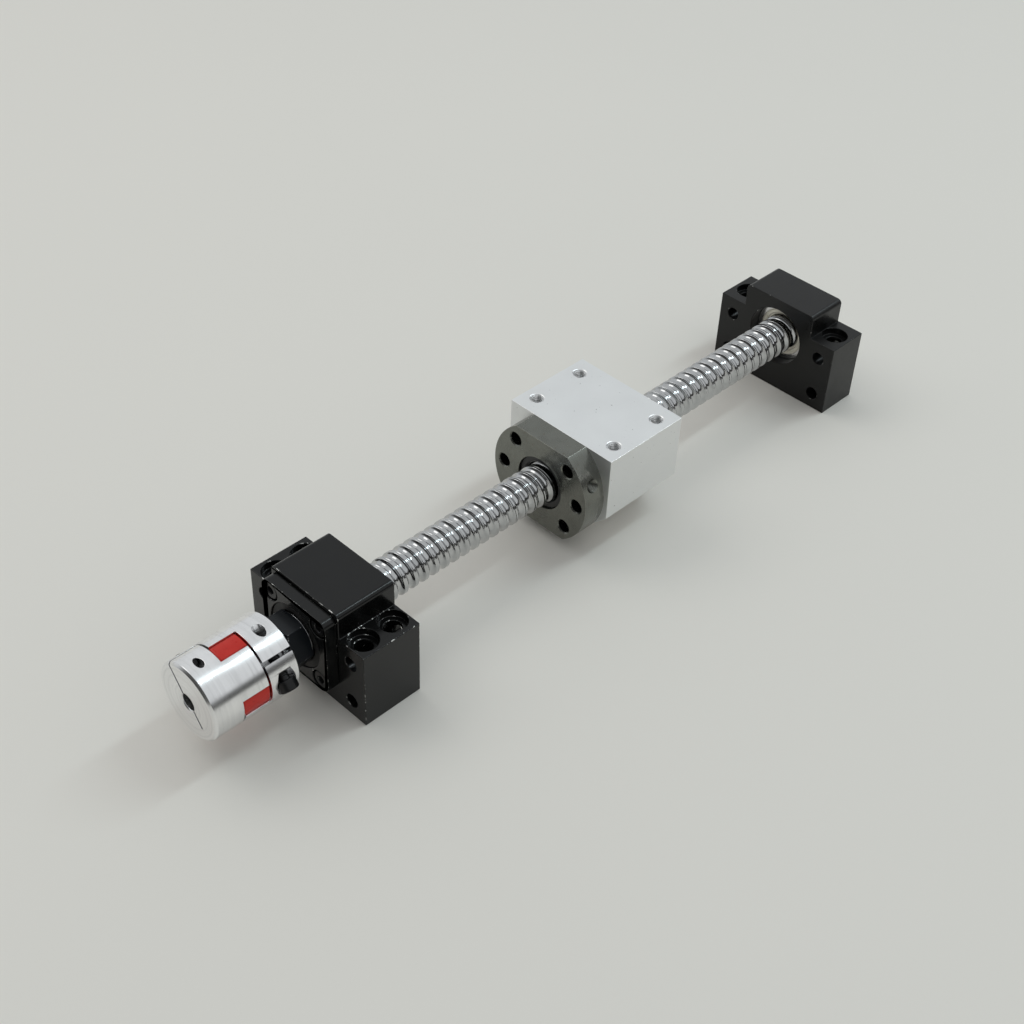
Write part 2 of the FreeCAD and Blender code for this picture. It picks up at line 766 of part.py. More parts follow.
first, last = NUM["shoulder"], NUM["thread_end"]
envelope = Part.makeCylinder(9.5, last - first - 5, Vector(first + 2.5, 0, 0), Vector(1, 0, 0)).fuse(
    [
        Part.makeCone(7, 9.5, 2.5, Vector(first, 0, 0), Vector(1, 0, 0)),
        Part.makeCone(7, 9.5, 2.5, Vector(last, 0, 0), Vector(-1, 0, 0)),
    ]
)
thread = doc.addObject("Part::Feature", "BallThread")
thread.Shape = ball_track(NUM["screw_dia"] / 2, False, first, last, envelope)
thread.Placement = Placement(Vector(0, 0, NUM["axis_height"]), Rotation())
driven = turned(
    None,
    [
        ("seat_end", "0"),
        ("seat_end", "seat_dia / 2 - 0.5"),
        ("seat_end + 0.5", "seat_dia / 2"),
        ("seat_start", "seat_dia / 2"),
        ("seat_start", "journal_fixed / 2 - 0.6"),
        ("seat_start + 0.6", "journal_fixed / 2"),
        (front + " - 1.6", "journal_fixed / 2"),
        (front + " - 1.4", "journal_fixed / 2 - 0.6"),
        (front + " - 0.2", "journal_fixed / 2 - 0.6"),
        (front, "journal_fixed / 2"),
        ("shoulder + 0.5", "journal_fixed / 2"),
        ("shoulder + 0.5", "0"),
    ],
)
free = turned(
    None,
    [
        ("thread_end - 0.5", "0"),
        ("thread_end - 0.5", "journal_floating / 2"),
        ("ring_groove", "journal_floating / 2"),
        ("ring_groove", "ring_groove_dia / 2"),
        ("ring_groove + ring_groove_wide", "ring_groove_dia / 2"),
        ("ring_groove + ring_groove_wide", "journal_floating / 2"),
        ("floating_end - 0.5", "journal_floating / 2"),
        ("floating_end", "journal_floating / 2 - 0.4"),
        ("floating_end", "0"),
    ],
)
keep("screw_shaft", fuse(thread, driven, free))

# snap ring: an open ring with two lugs in the groove behind the floating bearing
ring = rod("14", "ring_groove + 0.08", "1")
lugs = [
    rod("3.6", "ring_groove + 0.08", "1", y=s + "2.6", z=AX + " - 6.6") for s in ("", "-")
]
keep(
    "floating_snap_ring",
    cut(
        fuse(ring, *lugs),
        rod("ring_groove_dia + 0.06", "ring_groove - 1", "3"),
        box("ring_groove - 1", "-1.6", AX + " - 12", "3", "3.2", "10"),
        *[rod("1.5", "ring_groove - 1", "3", y=s + "2.9", z=AX + " - 6.9") for s in ("", "-")],
    ),
)

# ---- ball nut --------------------------------------------------------------------------------------------------------

nut_end = "flange_face + nut_long"
blank = turned(
    None,
    [
        ("flange_face", "3"),
        ("flange_face", "flange_dia / 2 - 0.5"),
        ("flange_face + 0.5", "flange_dia / 2"),
        ("flange_face + flange_thick - 0.5", "flange_dia / 2"),
        ("flange_face + flange_thick", "flange_dia / 2 - 0.5"),
        ("flange_face + flange_thick", "nut_dia / 2 - 0.25"),
        ("flange_face + flange_thick + 0.8", "nut_dia / 2 - 0.25"),
        ("flange_face + flange_thick + 1", "nut_dia / 2"),
        (nut_end + " - 0.7", "nut_dia / 2"),
        (nut_end, "nut_dia / 2 - 0.7"),
        (nut_end, "3"),
    ],
)
trimmed = common(
    blank, box("flange_face - 1", "-40", AX + " - flange_flats / 2", "nut_long + 2", "80", "flange_flats")
)
bore_core = doc.addObject("Part::Feature", "NutThreadCore")
n0, n1 = NUM["flange_face"] + 1, NUM["flange_face"] + NUM["nut_long"] - 1
bore_core.Shape = ball_track(
    NUM["nut_land"] / 2, True, n0, n1, Part.makeCylinder(13, n1 - n0, Vector(n0, 0, 0), Vector(1, 0, 0))
)
bore_core.Placement = Placement(Vector(0, 0, NUM["axis_height"]), Rotation())
nut_tools = [
    rod("wiper_seat", "flange_face - 1", "wiper_seat_deep + 1"),
    rod("wiper_seat", nut_end + " - wiper_seat_deep", "wiper_seat_deep + 1"),
    cone("wiper_seat + 0.8", "wiper_seat", "flange_face", "0.4", Vector(1, 0, 0)),
]
bolt_angles = (0, 45, 135, 180, 225, 315)
for a in bolt_angles:
    c, s = math.cos(math.radians(a)), math.sin(math.radians(a))
    y, z = "flange_pcd / 2 * %.7f" % c, AX + " + flange_pcd / 2 * %.7f" % s
    nut_tools.append(rod("flange_hole", "flange_face - 1", "flange_thick + 2", y=y, z=z))
    nut_tools.append(cone("flange_hole + 0.8", "flange_hole", "flange_face", "0.4", Vector(1, 0, 0), y=y, z=z))
mid_flange = "flange_face + flange_thick / 2"
nut_tools.append(radial(NUM["oil_angle"], mid_flange, "flange_dia / 2 - oil_deep", "flange_dia / 2 + 1", "oil_hole"))
nut_tools.append(radial(NUM["oil_angle"], mid_flange, "8.5", "flange_dia / 2 - oil_deep + 0.5", "2.4"))
oil_dir = Vector(0, math.cos(math.radians(NUM["oil_angle"])), math.sin(math.radians(NUM["oil_angle"])))
port = doc.addObject("Part::Cone", "OilCountersink")
port.Radius1, port.Radius2, port.Height = 2.5, 3.3, 0.8
port.Placement = Placement(
    Vector(value(mid_flange), 0, NUM["axis_height"]) + oil_dir * (NUM["flange_dia"] / 2 - 0.75),
    Rotation(Vector(0, 0, 1), oil_dir),
)
nut_tools.append(port)

# four one-turn circuits, each closed by a return cap in the nut wall, a quarter turn apart
LEAD = NUM["screw_lead"]
circuits = []
for n in range(4):
    angle = 90.0 * n + 45.0
    # x of the track's bottom at this angle, in the turn nearest the circuit's own place
    wanted = NUM["flange_face"] + 15.5 + n * 7.5
    k = round((wanted - NUM["shoulder"]) / LEAD - angle / 360.0)
    circuits.append((angle, NUM["shoulder"] + LEAD * (k + angle / 360.0)))


def cap_blank(angle, x, r0, r1, grow):
    """A round-ended oblong plug through the nut wall, across two neighbouring turns."""
    d = Vector(0, math.cos(math.radians(angle)), math.sin(math.radians(angle)))
    wide, long_ = 2.1 + grow, 3.4
    bar = Part.makeBox(r1 - r0, 2 * wide, long_, Vector(r0, -wide, -long_ / 2))
    ends = [
        Part.makeCylinder(wide, r1 - r0, Vector(r0, 0, s * long_ / 2), Vector(1, 0, 0)) for s in (-1, 1)
    ]
    plug = bar.fuse(ends).removeSplitter()
    # local X to the radial direction, local Z along the screw
    side = Vector(1, 0, 0).cross(d)
    m = FreeCAD.Matrix(
        d.x, side.x, 1, x, d.y, side.y, 0, 0, d.z, side.z, 0, 0, 0, 0, 0, 1
    )
    turn = Placement(m)
    plug.Placement = turn
    return plug


caps, windows, ball_shapes = [], [], []
sleeve = Part.makeCylinder(13.85, 60, Vector(95, 0, 0), Vector(1, 0, 0)).cut(
    Part.makeCylinder(10.6, 60, Vector(95, 0, 0), Vector(1, 0, 0))
)
for angle, x in circuits:
    mid = x - LEAD / 2
    caps.append(cap_blank(angle, mid, 9.0, 15.0, 0.0).common(sleeve))
    windows.append(cap_blank(angle, mid, 9.0, 15.0, 0.08))
    for i in range(13):
        t = -360.0 + 34.0 + i * (360.0 - 68.0) / 12.0
        a = math.radians(angle + t)
        rr = NUM["track_centre"]
        ball_shapes.append(
            Part.makeSphere(
                NUM["nut_ball"] / 2, Vector(x + LEAD * t / 360.0, rr * math.cos(a), rr * math.sin(a))
            )
        )
lift = Placement(Vector(0, 0, NUM["axis_height"]), Rotation())


def feature(name, shape):
    o = doc.addObject("Part::Feature", name)
    o.Shape = shape
    o.Placement = lift
    return o


keep("nut_return_caps", feature("ReturnCaps", Part.makeCompound(caps)))
keep("nut_balls", feature("NutBalls", Part.makeCompound(ball_shapes)))
window = feature("CapWindows", Part.makeCompound(windows))
bored = cut(trimmed, *nut_tools)
keep("ball_nut", cut(cut(bored, window), bore_core))

for node, x0, x1 in (
    ("nut_front_wiper", "flange_face + 1", "flange_face + wiper_seat_deep - 0.05"),
    ("nut_rear_wiper", nut_end + " - wiper_seat_deep + 0.05", nut_end + " - 1"),
):
    turned(
        node,
        [
            (x0, "screw_dia / 2 + 0.3"),
            (x1, "screw_dia / 2 + 0.3"),
            (x1, "wiper_seat / 2 - 0.05"),
            (x0, "wiper_seat / 2 - 0.05"),
        ],
    )

# ---- nut housing -----------------------------------------------------------------------------------------------------

block = doc.addObject("PartDesign::Body", "NutHousing")
low = "axis_height - block_high / 2"
high = "axis_height + block_high / 2"
side = "block_wide / 2"
profile = outline(
    block,
    "YZ_Plane",
    [
        ("-%s + block_corner" % side, low),
        ("%s - block_corner" % side, low),
        (side, low + " + block_corner"),
        (side, high),
        ("-" + side, high),
        ("-" + side, low + " + block_corner"),
    ],
)
pad = block.newObject("PartDesign::Pad", "Bar")
pad.Profile = profile
pad.setExpression("Length", ex("block_long"))
doc.recompute()
bar_volume = pad.Shape.Volume
bore_sketch = circles(block, "YZ_Plane", [("0", AX, "block_bore")], "Bore")
p = block.newObject("PartDesign::Pocket", "BorePocket")
p.Profile = bore_sketch
p.Reversed = True
p.setExpression("Length", ex("block_long"))
doc.recompute()
bolt_sketch = circles(
    block,
    "YZ_Plane",
    [
        (
            "flange_pcd / 2 * %.7f" % math.cos(math.radians(a)),
            AX + " + flange_pcd / 2 * %.7f" % math.sin(math.radians(a)),
            "tap_drill",
        )
        for a in bolt_angles
    ],
    "BoltHoles",
)
q = block.newObject("PartDesign::Pocket", "BoltHolePocket")
q.Profile = bolt_sketch
q.Reversed = True
q.setExpression("Length", ex("tap_deep + 2"))
doc.recompute()
tops = [(a + "top_pitch_x / 2 + block_long / 2", b + "top_pitch_y / 2") for a in ("", "-") for b in ("", "-")]
top_sketch = circles(
    block, "XY_Plane", [(a, b, "tap_drill") for a, b in tops], "TopHoles", high + " - tap_deep"
)
t = block.newObject("PartDesign::Pocket", "TopHolePocket")
t.Profile = top_sketch
t.Reversed = True
t.setExpression("Length", ex("tap_deep + 1"))
doc.recompute()
assert t.Shape.Volume < q.Shape.Volume < p.Shape.Volume < bar_volume
block.setExpression("Placement.Base.x", ex("flange_face + flange_thick"))
keep(
    "nut_housing_block",
    cut(
        block,
        *[
            cone(
                "tap_drill",
                "tap_drill + 1.6",
                "0",
                "0.8",
                Vector(0, 0, 1),
                x="flange_face + flange_thick + " + a,
                y=b,
                z=high + " - 0.8",
            )
            for a, b in tops
        ],
        cone("block_bore + 0.8", "block_bore", "flange_face + flange_thick", "0.4", Vector(1, 0, 0)),
    ),
)

# ---- coupling --------------------------------------------------------------------------------------------------------

C0 = "coupling_face"
C1 = C0 + " + motor_hub"
C2 = C0 + " + coupling_long - screw_hub"
C3 = C0 + " + coupling_long"
FIRST_JAW = 137.5  # middle of the motor hub's first jaw, from +Y towards +Z


def direction(angle):
    return Vector(0, math.cos(math.radians(angle)), math.sin(math.radians(angle)))


def hub(start, end, bore, edge_first):
    """A hub's turned body, chamfered on its outer end."""
    r = "coupling_dia / 2"
    if edge_first:
        pts = [
            (start, bore + " / 2 + 0.4"),
            (start, r + " - 0.9"),
            (start + " + 0.9", r),
            (end, r),
            (end, bore + " / 2"),
            (start + " + 0.4", bore + " / 2"),
        ]
    else:
        pts = [
            (start, bore + " / 2"),
            (start, r),
            (end + " - 0.7", r),
            (end, r + " - 0.7"),
            (end, bore + " / 2 + 0.4"),
            (end + " - 0.4", bore + " / 2"),
        ]
    return turned(None, pts)


def sector(start, length, middle, width, r_in, r_out):
    """A ring sector about the screw axis whose middle is at an angle from +Y towards +Z."""
    o = doc.addObject("Part::Cylinder", "Sector")
    # the primitive's angle runs from its own X axis; this turns X onto the sector's first edge
    edge = direction(middle - value(width) / 2)
    across = Vector(1, 0, 0).cross(edge)
    m = FreeCAD.Matrix(
        edge.x, across.x, 1, 0, edge.y, across.y, 0, 0, edge.z, across.z, 0, 0, 0, 0, 0, 1
    )
    o.Placement = Placement(m)
    o.setExpression("Radius", ex(r_out))
    o.setExpression("Height", ex(length))
    o.setExpression("Angle", ex(width))
    o.setExpression("Placement.Base.x", ex(start))
    o.setExpression("Placement.Base.z", ex(AX))
    return cut(o, rod("2 * (%s)" % r_in, start + " - 1", "(%s) + 2" % length))


def slit(x0, x1, angle, r0, r1, width, shift=0.0):
    """A saw cut in the half plane at an angle, between two radii."""
    d = direction(angle)
    s = Vector(1, 0, 0).cross(d)
    shape = doc.addObject("Part::Box", "Slit")
    shape.setExpression("Length", ex("(%s) - (%s)" % (x1, x0)))
    shape.Width = width
    shape.Height = r1 - r0
    m = FreeCAD.Matrix(1, s.x, d.x, 0, 0, s.y, d.y, 0, 0, s.z, d.z, 0, 0, 0, 0, 1)
    base = Vector(value(x0), 0, NUM["axis_height"]) + d * r0 + s * (shift - width / 2)
    shape.Placement = Placement(base, Placement(m).Rotation)
    return shape


def chord(x, angle, off, s0, s1, dia, name="Chord"):
    """A round bar across a hub at a distance from the axis, square to the half plane at an angle."""
    d = direction(angle)
    s = Vector(1, 0, 0).cross(d)
    o = doc.addObject("Part::Cylinder", name)
    o.setExpression("Radius", ex("(%s) / 2" % dia))
    lo, hi = min(s0, s1), max(s0, s1)
    o.Height = hi - lo
    o.Placement = Placement(
        Vector(value(x), 0, NUM["axis_height"]) + d * value(off) + s * lo, Rotation(Vector(0, 0, 1), s)
    )
    return o


MS, SS = NUM["motor_slit_angle"], NUM["screw_slit_angle"]
mid_motor = C0 + " + motor_hub / 2"
mid_screw = C3 + " - screw_hub / 2"
motor_jaws = [
    sector(C1 + " - 1", "jaw_long + 1", FIRST_JAW + turn, "jaw_angle", "jaw_inside", "coupling_dia / 2")
    for turn in (0, 180)
]
keep(
    "coupling_motor_hub",
    cut(
        fuse(hub(C0, C1, "motor_bore", True), *motor_jaws),
        slit(C0 + " - 1", C1 + " + 0.5", MS, 2.0, 16.0, 0.8),
        slit(C0 + " - 1", C1 + " + 0.5", MS + 180, 1.0, 9.9, 0.8, -1.2),
        chord(mid_motor, MS, "motor_clamp_off", -10.5, 14, "3.1"),
        chord(mid_motor, MS, "motor_clamp_off", -16, -1.7, "6.1"),
    ),
)
screw_jaws = [
    sector(C2 + " - jaw_long", "jaw_long + 1", FIRST_JAW - 90 + turn, "jaw_angle", "jaw_inside", "coupling_dia / 2")
    for turn in (0, 180)
]
keep(
    "coupling_screw_hub",
    cut(
        fuse(hub(C2, C3, "(seat_dia + 0.02)", False), *screw_jaws),
        slit(C2 + " - 0.5", C3 + " + 1", SS, 4.0, 16.0, 1.5),
        slit(C2 + " - 0.5", C3 + " + 1", SS + 180, 4.0, 10.0, 1.2),
        chord(mid_screw, SS, "screw_clamp_off", -14, 10.5, "4.2"),
        chord(mid_screw, SS, "screw_clamp_off", 5.2, 16, "7.8"),
    ),
)
lobe_start = C1 + " + 0.3"
lobe_long = "coupling_long - motor_hub - screw_hub - 0.6"
lobes = [
    sector(lobe_start, lobe_long, FIRST_JAW - 45 + 90 * n, "lobe_angle", "4.2", "coupling_dia / 2 - 0.5")
    for n in range(4)
]
keep(
    "coupling_spider",
    cut(
        fuse(rod("2 * jaw_inside - 0.3", lobe_start, lobe_long), *lobes),
        rod("10.4", lobe_start + " - 1", lobe_long + " + 2"),
    ),
)


def clamp_screw(x, angle, off, seat, sign, length, **sizes):
    d = direction(angle)
    s = Vector(1, 0, 0).cross(d) * sign
    at = Vector(value(x), 0, NUM["axis_height"]) + d * value(off) + s * value(seat)
    return socket_screw("%.9f" % at.x, "%.9f" % at.y, "%.9f" % at.z, repr(length), s * -1, **sizes)


keep(
    "coupling_motor_clamp_screw",
    clamp_screw(
        mid_motor,
        MS,
        "motor_clamp_off",
        "motor_clamp_seat",
        -1,
        8.0,
        flats="motor_clamp_flats",
        wide="motor_clamp_head",
        tall="motor_clamp_tall",
        stem="motor_clamp_shank",
    ),
)
# the screw hub's clamp screw stands backed out of its pocket, as on a coupling that isn't tightened yet
keep("coupling_screw_clamp_screw", clamp_screw(mid_screw, SS, "screw_clamp_off", "8.5", 1, 18.2))

# ---- checks and files --------------------------------------------------------------------------------------------------

doc.recompute()
bad = [o.Name for o in doc.Objects if "Invalid" in o.State or "Error" in o.State]
assert not bad, "failed objects: %s" % bad
os.makedirs("parts", exist_ok=True)
for node, obj in parts.items():
    shape = obj.Shape
    assert not shape.isNull() and shape.isValid(), node
for node, obj in parts.items():
    shape = obj.Shape
    solids = shape.Solids
    out = solids[0] if len(solids) == 1 else Part.makeCompound(solids)
    out.exportStep("parts/%s.step" % node)
    b = shape.BoundBox
    print(
        "%-28s solids %2d  vol %9.1f  x %7.2f %7.2f  y %6.2f %6.2f  z %6.2f %6.2f"
        % (node, len(solids), shape.Volume, b.XMin, b.XMax, b.YMin, b.YMax, b.ZMin, b.ZMax)
    )
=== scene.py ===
import json
import math

import bmesh
import bpy
from mathutils import Matrix, Vector


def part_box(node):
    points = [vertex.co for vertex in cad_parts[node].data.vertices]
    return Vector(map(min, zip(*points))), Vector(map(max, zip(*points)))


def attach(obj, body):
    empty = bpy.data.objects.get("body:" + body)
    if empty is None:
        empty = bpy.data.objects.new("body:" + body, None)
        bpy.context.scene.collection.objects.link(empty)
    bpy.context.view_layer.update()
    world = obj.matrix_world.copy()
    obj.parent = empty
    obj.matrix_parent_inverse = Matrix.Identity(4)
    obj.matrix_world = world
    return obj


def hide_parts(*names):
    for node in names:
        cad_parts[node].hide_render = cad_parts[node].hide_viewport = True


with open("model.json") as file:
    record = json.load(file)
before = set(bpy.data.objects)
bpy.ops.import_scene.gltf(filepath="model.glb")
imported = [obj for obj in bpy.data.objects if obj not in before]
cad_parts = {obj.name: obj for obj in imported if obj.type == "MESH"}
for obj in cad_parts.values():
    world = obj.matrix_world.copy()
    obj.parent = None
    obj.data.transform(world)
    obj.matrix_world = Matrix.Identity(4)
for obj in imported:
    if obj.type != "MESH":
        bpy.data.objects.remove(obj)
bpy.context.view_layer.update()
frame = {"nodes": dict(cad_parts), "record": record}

# Lengths in this script are millimetres until seat_piece() turns a finished mesh into metres.
scene = bpy.context.scene
AX = 25.0  # screw axis above the mounting plane
MM = 0.001


def node_box(node):
    lo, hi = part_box(node)
    return lo / MM, hi / MM


# ---- camera ----------------------------------------------------------------------------------------------------------

cam_data = bpy.data.cameras.new("camera")
cam = bpy.data.objects.new("camera", cam_data)
scene.collection.objects.link(cam)
right = Vector((0.706904856, -0.706561265, 0.032506985))
down = Vector((-0.445952605, -0.480900003, -0.754891689))
ahead = Vector((0.549009835, 0.519140026, -0.655043384))
turn = Matrix((right, -down, -ahead)).transposed().to_4x4()
cam.matrix_world = Matrix.Translation((-0.245879, -0.314843, 0.416141)) @ turn
cam_data.sensor_width = 36.0
cam_data.sensor_fit = "HORIZONTAL"
cam_data.lens = 56.431
cam_data.clip_start, cam_data.clip_end = 0.02, 20.0
cam_data.dof.use_dof = False
scene.camera = cam

# ---- mesh tools --------------------------------------------------------------------------------------------------------


def new_object(name, verts, faces):
    me = bpy.data.meshes.new(name)
    me.from_pydata([tuple(v) for v in verts], [], faces)
    me.update()
    o = bpy.data.objects.new(name, me)
    scene.collection.objects.link(o)
    fix_normals(o)
    return o


def fix_normals(o, weld=None):
    bm = bmesh.new()
    bm.from_mesh(o.data)
    if weld:
        bmesh.ops.remove_doubles(bm, verts=bm.verts, dist=weld)
        bmesh.ops.dissolve_degenerate(bm, dist=1e-5, edges=bm.edges)
    bmesh.ops.recalc_face_normals(bm, faces=bm.faces)
    bm.to_mesh(o.data)
    bm.free()
    o.data.update()


def axes_of(direction):
    d = Vector(direction).normalized()
    if abs(d.x) > 0.9:
        u = Vector((0, 1, 0))
    else:
        u = Vector((1, 0, 0))
    u = (u - d * u.dot(d)).normalized()
    return u, d.cross(u), d


def spin(name, profile, seg=96, origin=(0, 0, AX), axis=(1, 0, 0), start=0.0):
    """A solid turned about an axis from a closed section of (along, radius) points."""
    u, v, d = axes_of(axis)
    o = Vector(origin)
    verts, rings = [], []
    for s, r in profile:
        if r < 1e-7:
            rings.append(None)
            continue
        base = len(verts)
        for k in range(seg):
            a = math.radians(start) + 2 * math.pi * k / seg
            verts.append(o + d * s + (u * math.cos(a) + v * math.sin(a)) * r)
        rings.append([base + k for k in range(seg)])
    faces = []
    for i in range(len(profile)):
        j = (i + 1) % len(profile)
        a, b = rings[i], rings[j]
        if a is None and b is None:
            continue
        if a is None or b is None:
            faces.append(list(a or b))
            continue
        for k in range(seg):
            m = (k + 1) % seg
            faces.append([a[k], a[m], b[m], b[k]])
    return new_object(name, verts, faces)


def rod(r, x0, x1, y=0.0, z=AX, seg=64):
    return spin("tool", [(x0, 0), (x0, r), (x1, r), (x1, 0)], seg, (0, y, z))


def bar(origin, axis, r, s0, s1, seg=48, r1=None):
    """A round bar, or a cone, along any axis."""
    return spin("tool", [(s0, 0), (s0, r), (s1, r if r1 is None else r1), (s1, 0)], seg, origin, axis)


def extrude(name, points, x0, x1, origin=(0, 0, 0), axes=None):
    """A prism: points are (a, b) in a plane, and the length runs along the third axis."""
    u, v, d = axes or (Vector((0, 1, 0)), Vector((0, 0, 1)), Vector((1, 0, 0)))
    o = Vector(origin)
    n = len(points)
    verts = [o + u * a + v * b + d * x for x in (x0, x1) for a, b in points]
    faces = [list(range(n))[::-1], list(range(n, 2 * n))]
    faces += [[k, (k + 1) % n, n + (k + 1) % n, n + k] for k in range(n)]
    return new_object(name, verts, faces)


def brick(x0, x1, y0, y1, z0, z1):
    return extrude("tool", [(y0, z0), (y1, z0), (y1, z1), (y0, z1)], x0, x1)


def bake(o):
    """Applies an object's modifiers."""
    bpy.context.view_layer.update()
    dg = bpy.context.evaluated_depsgraph_get()
    me = bpy.data.meshes.new_from_object(o.evaluated_get(dg))
    o.modifiers.clear()
    old = o.data
    o.data = me
    me.name = old.name
    bpy.data.meshes.remove(old)
    return o


def drop(objects):
    for t in objects:
        me = t.data
        bpy.data.objects.remove(t)
        bpy.data.meshes.remove(me)


def carve(base, tools, operation="DIFFERENCE", solver="EXACT", weld=0.004):
    for t in tools:
        m = base.modifiers.new("bool", "BOOLEAN")
        m.operation, m.object, m.solver = operation, t, solver
    bake(base)
    drop(tools)
    fix_normals(base, weld)
    return base


def volume(o):
    bm = bmesh.new()
    bm.from_mesh(o.data)
    v = bm.calc_volume()
    bm.free()
    return v


def direction(angle):
    """Outwards from the screw axis at an angle from +Y towards +Z."""
    a = math.radians(angle)
    return Vector((0, math.cos(a), math.sin(a)))


def arc(cy, cz, r, a0, a1, n):
    """Points of an arc, both ends included, angles in degrees."""
    return [
        (cy + r * math.cos(math.radians(a0 + (a1 - a0) * i / n)), cz + r * math.sin(math.radians(a0 + (a1 - a0) * i / n)))
        for i in range(n + 1)
    ]


def sector(r_in, r_out, middle, width, x0, x1, n=20):
    a0, a1 = middle - width / 2, middle + width / 2
    pts = arc(0, AX, r_out, a0, a1, n)
    pts += arc(0, AX, r_in, a1, a0, max(4, n // 2)) if r_in > 0 else [(0, AX)]
    return extrude("tool", pts, x0, x1)


def thread_groove(origin, axis, r, depth, s0, s1, pitch=0.8, seg=48):
    """A cutter for a tapped hole: a bar with ridges, one for each turn of the thread."""
    pts = [(s0, 0), (s0, r)]
    s = s0
    while s + pitch <= s1 + 1e-6:
        pts += [(s + pitch * 0.08, r), (s + pitch * 0.46, r + depth), (s + pitch * 0.54, r + depth), (s + pitch * 0.92, r)]
        s += pitch
    pts += [(s1, r), (s1, 0)]
    out = []
    for p in pts:
        if not out or (abs(p[0] - out[-1][0]) + abs(p[1] - out[-1][1])) > 1e-4:
            out.append(p)
    return spin("tool", out, seg, origin, axis)


def set_attribute(o, name, values):
    a = o.data.attributes.new(name, "FLOAT", "POINT")
    a.data.foreach_set("value", values)


def seat_piece(o, name, body, nodes, materials, bevel=0.0, segments=2, angle=30.0, smooth=38.0, weld=0.002, wn=True):
    """Finishes a mesh made in millimetres: eases its edges, turns it into metres and seats it on its body."""
    fix_normals(o, weld)
    if volume(o) < 0:
        o.data.flip_normals()
    if bevel:
        m = o.modifiers.new("bevel", "BEVEL")
        m.width, m.segments = bevel, segments
        m.limit_method, m.angle_limit = "ANGLE", math.radians(angle)
        m.use_clamp_overlap = False
        m.miter_outer = "MITER_SHARP"
        m.harden_normals = False
        m.material = 1 if len(materials) > 1 else -1
        # the modifier numbers its own faces with the second material
        while len(o.data.materials) < len(materials):
            o.data.materials.append(materials[len(o.data.materials)])
        bake(o)
        fix_normals(o, 0.0005)
    me = o.data
    me.transform(Matrix.Scale(MM, 4))
    for i, m in enumerate(materials):
        if i < len(me.materials):
            me.materials[i] = m
        else:
            me.materials.append(m)
    while len(me.materials) > len(materials):
        me.materials.pop()
    me.polygons.foreach_set("use_smooth", [True] * len(me.polygons))
    me.set_sharp_from_angle(angle=math.radians(smooth))
    if wn:
        w = o.modifiers.new("normals", "WEIGHTED_NORMAL")
        w.keep_sharp, w.weight = True, 50
        bake(o)
    o.name = name
    o.data.name = name
    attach(o, body)
    if nodes:
        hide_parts(*([nodes] if isinstance(nodes, str) else nodes))
    return o


# ---- materials ---------------------------------------------------------------------------------------------------------


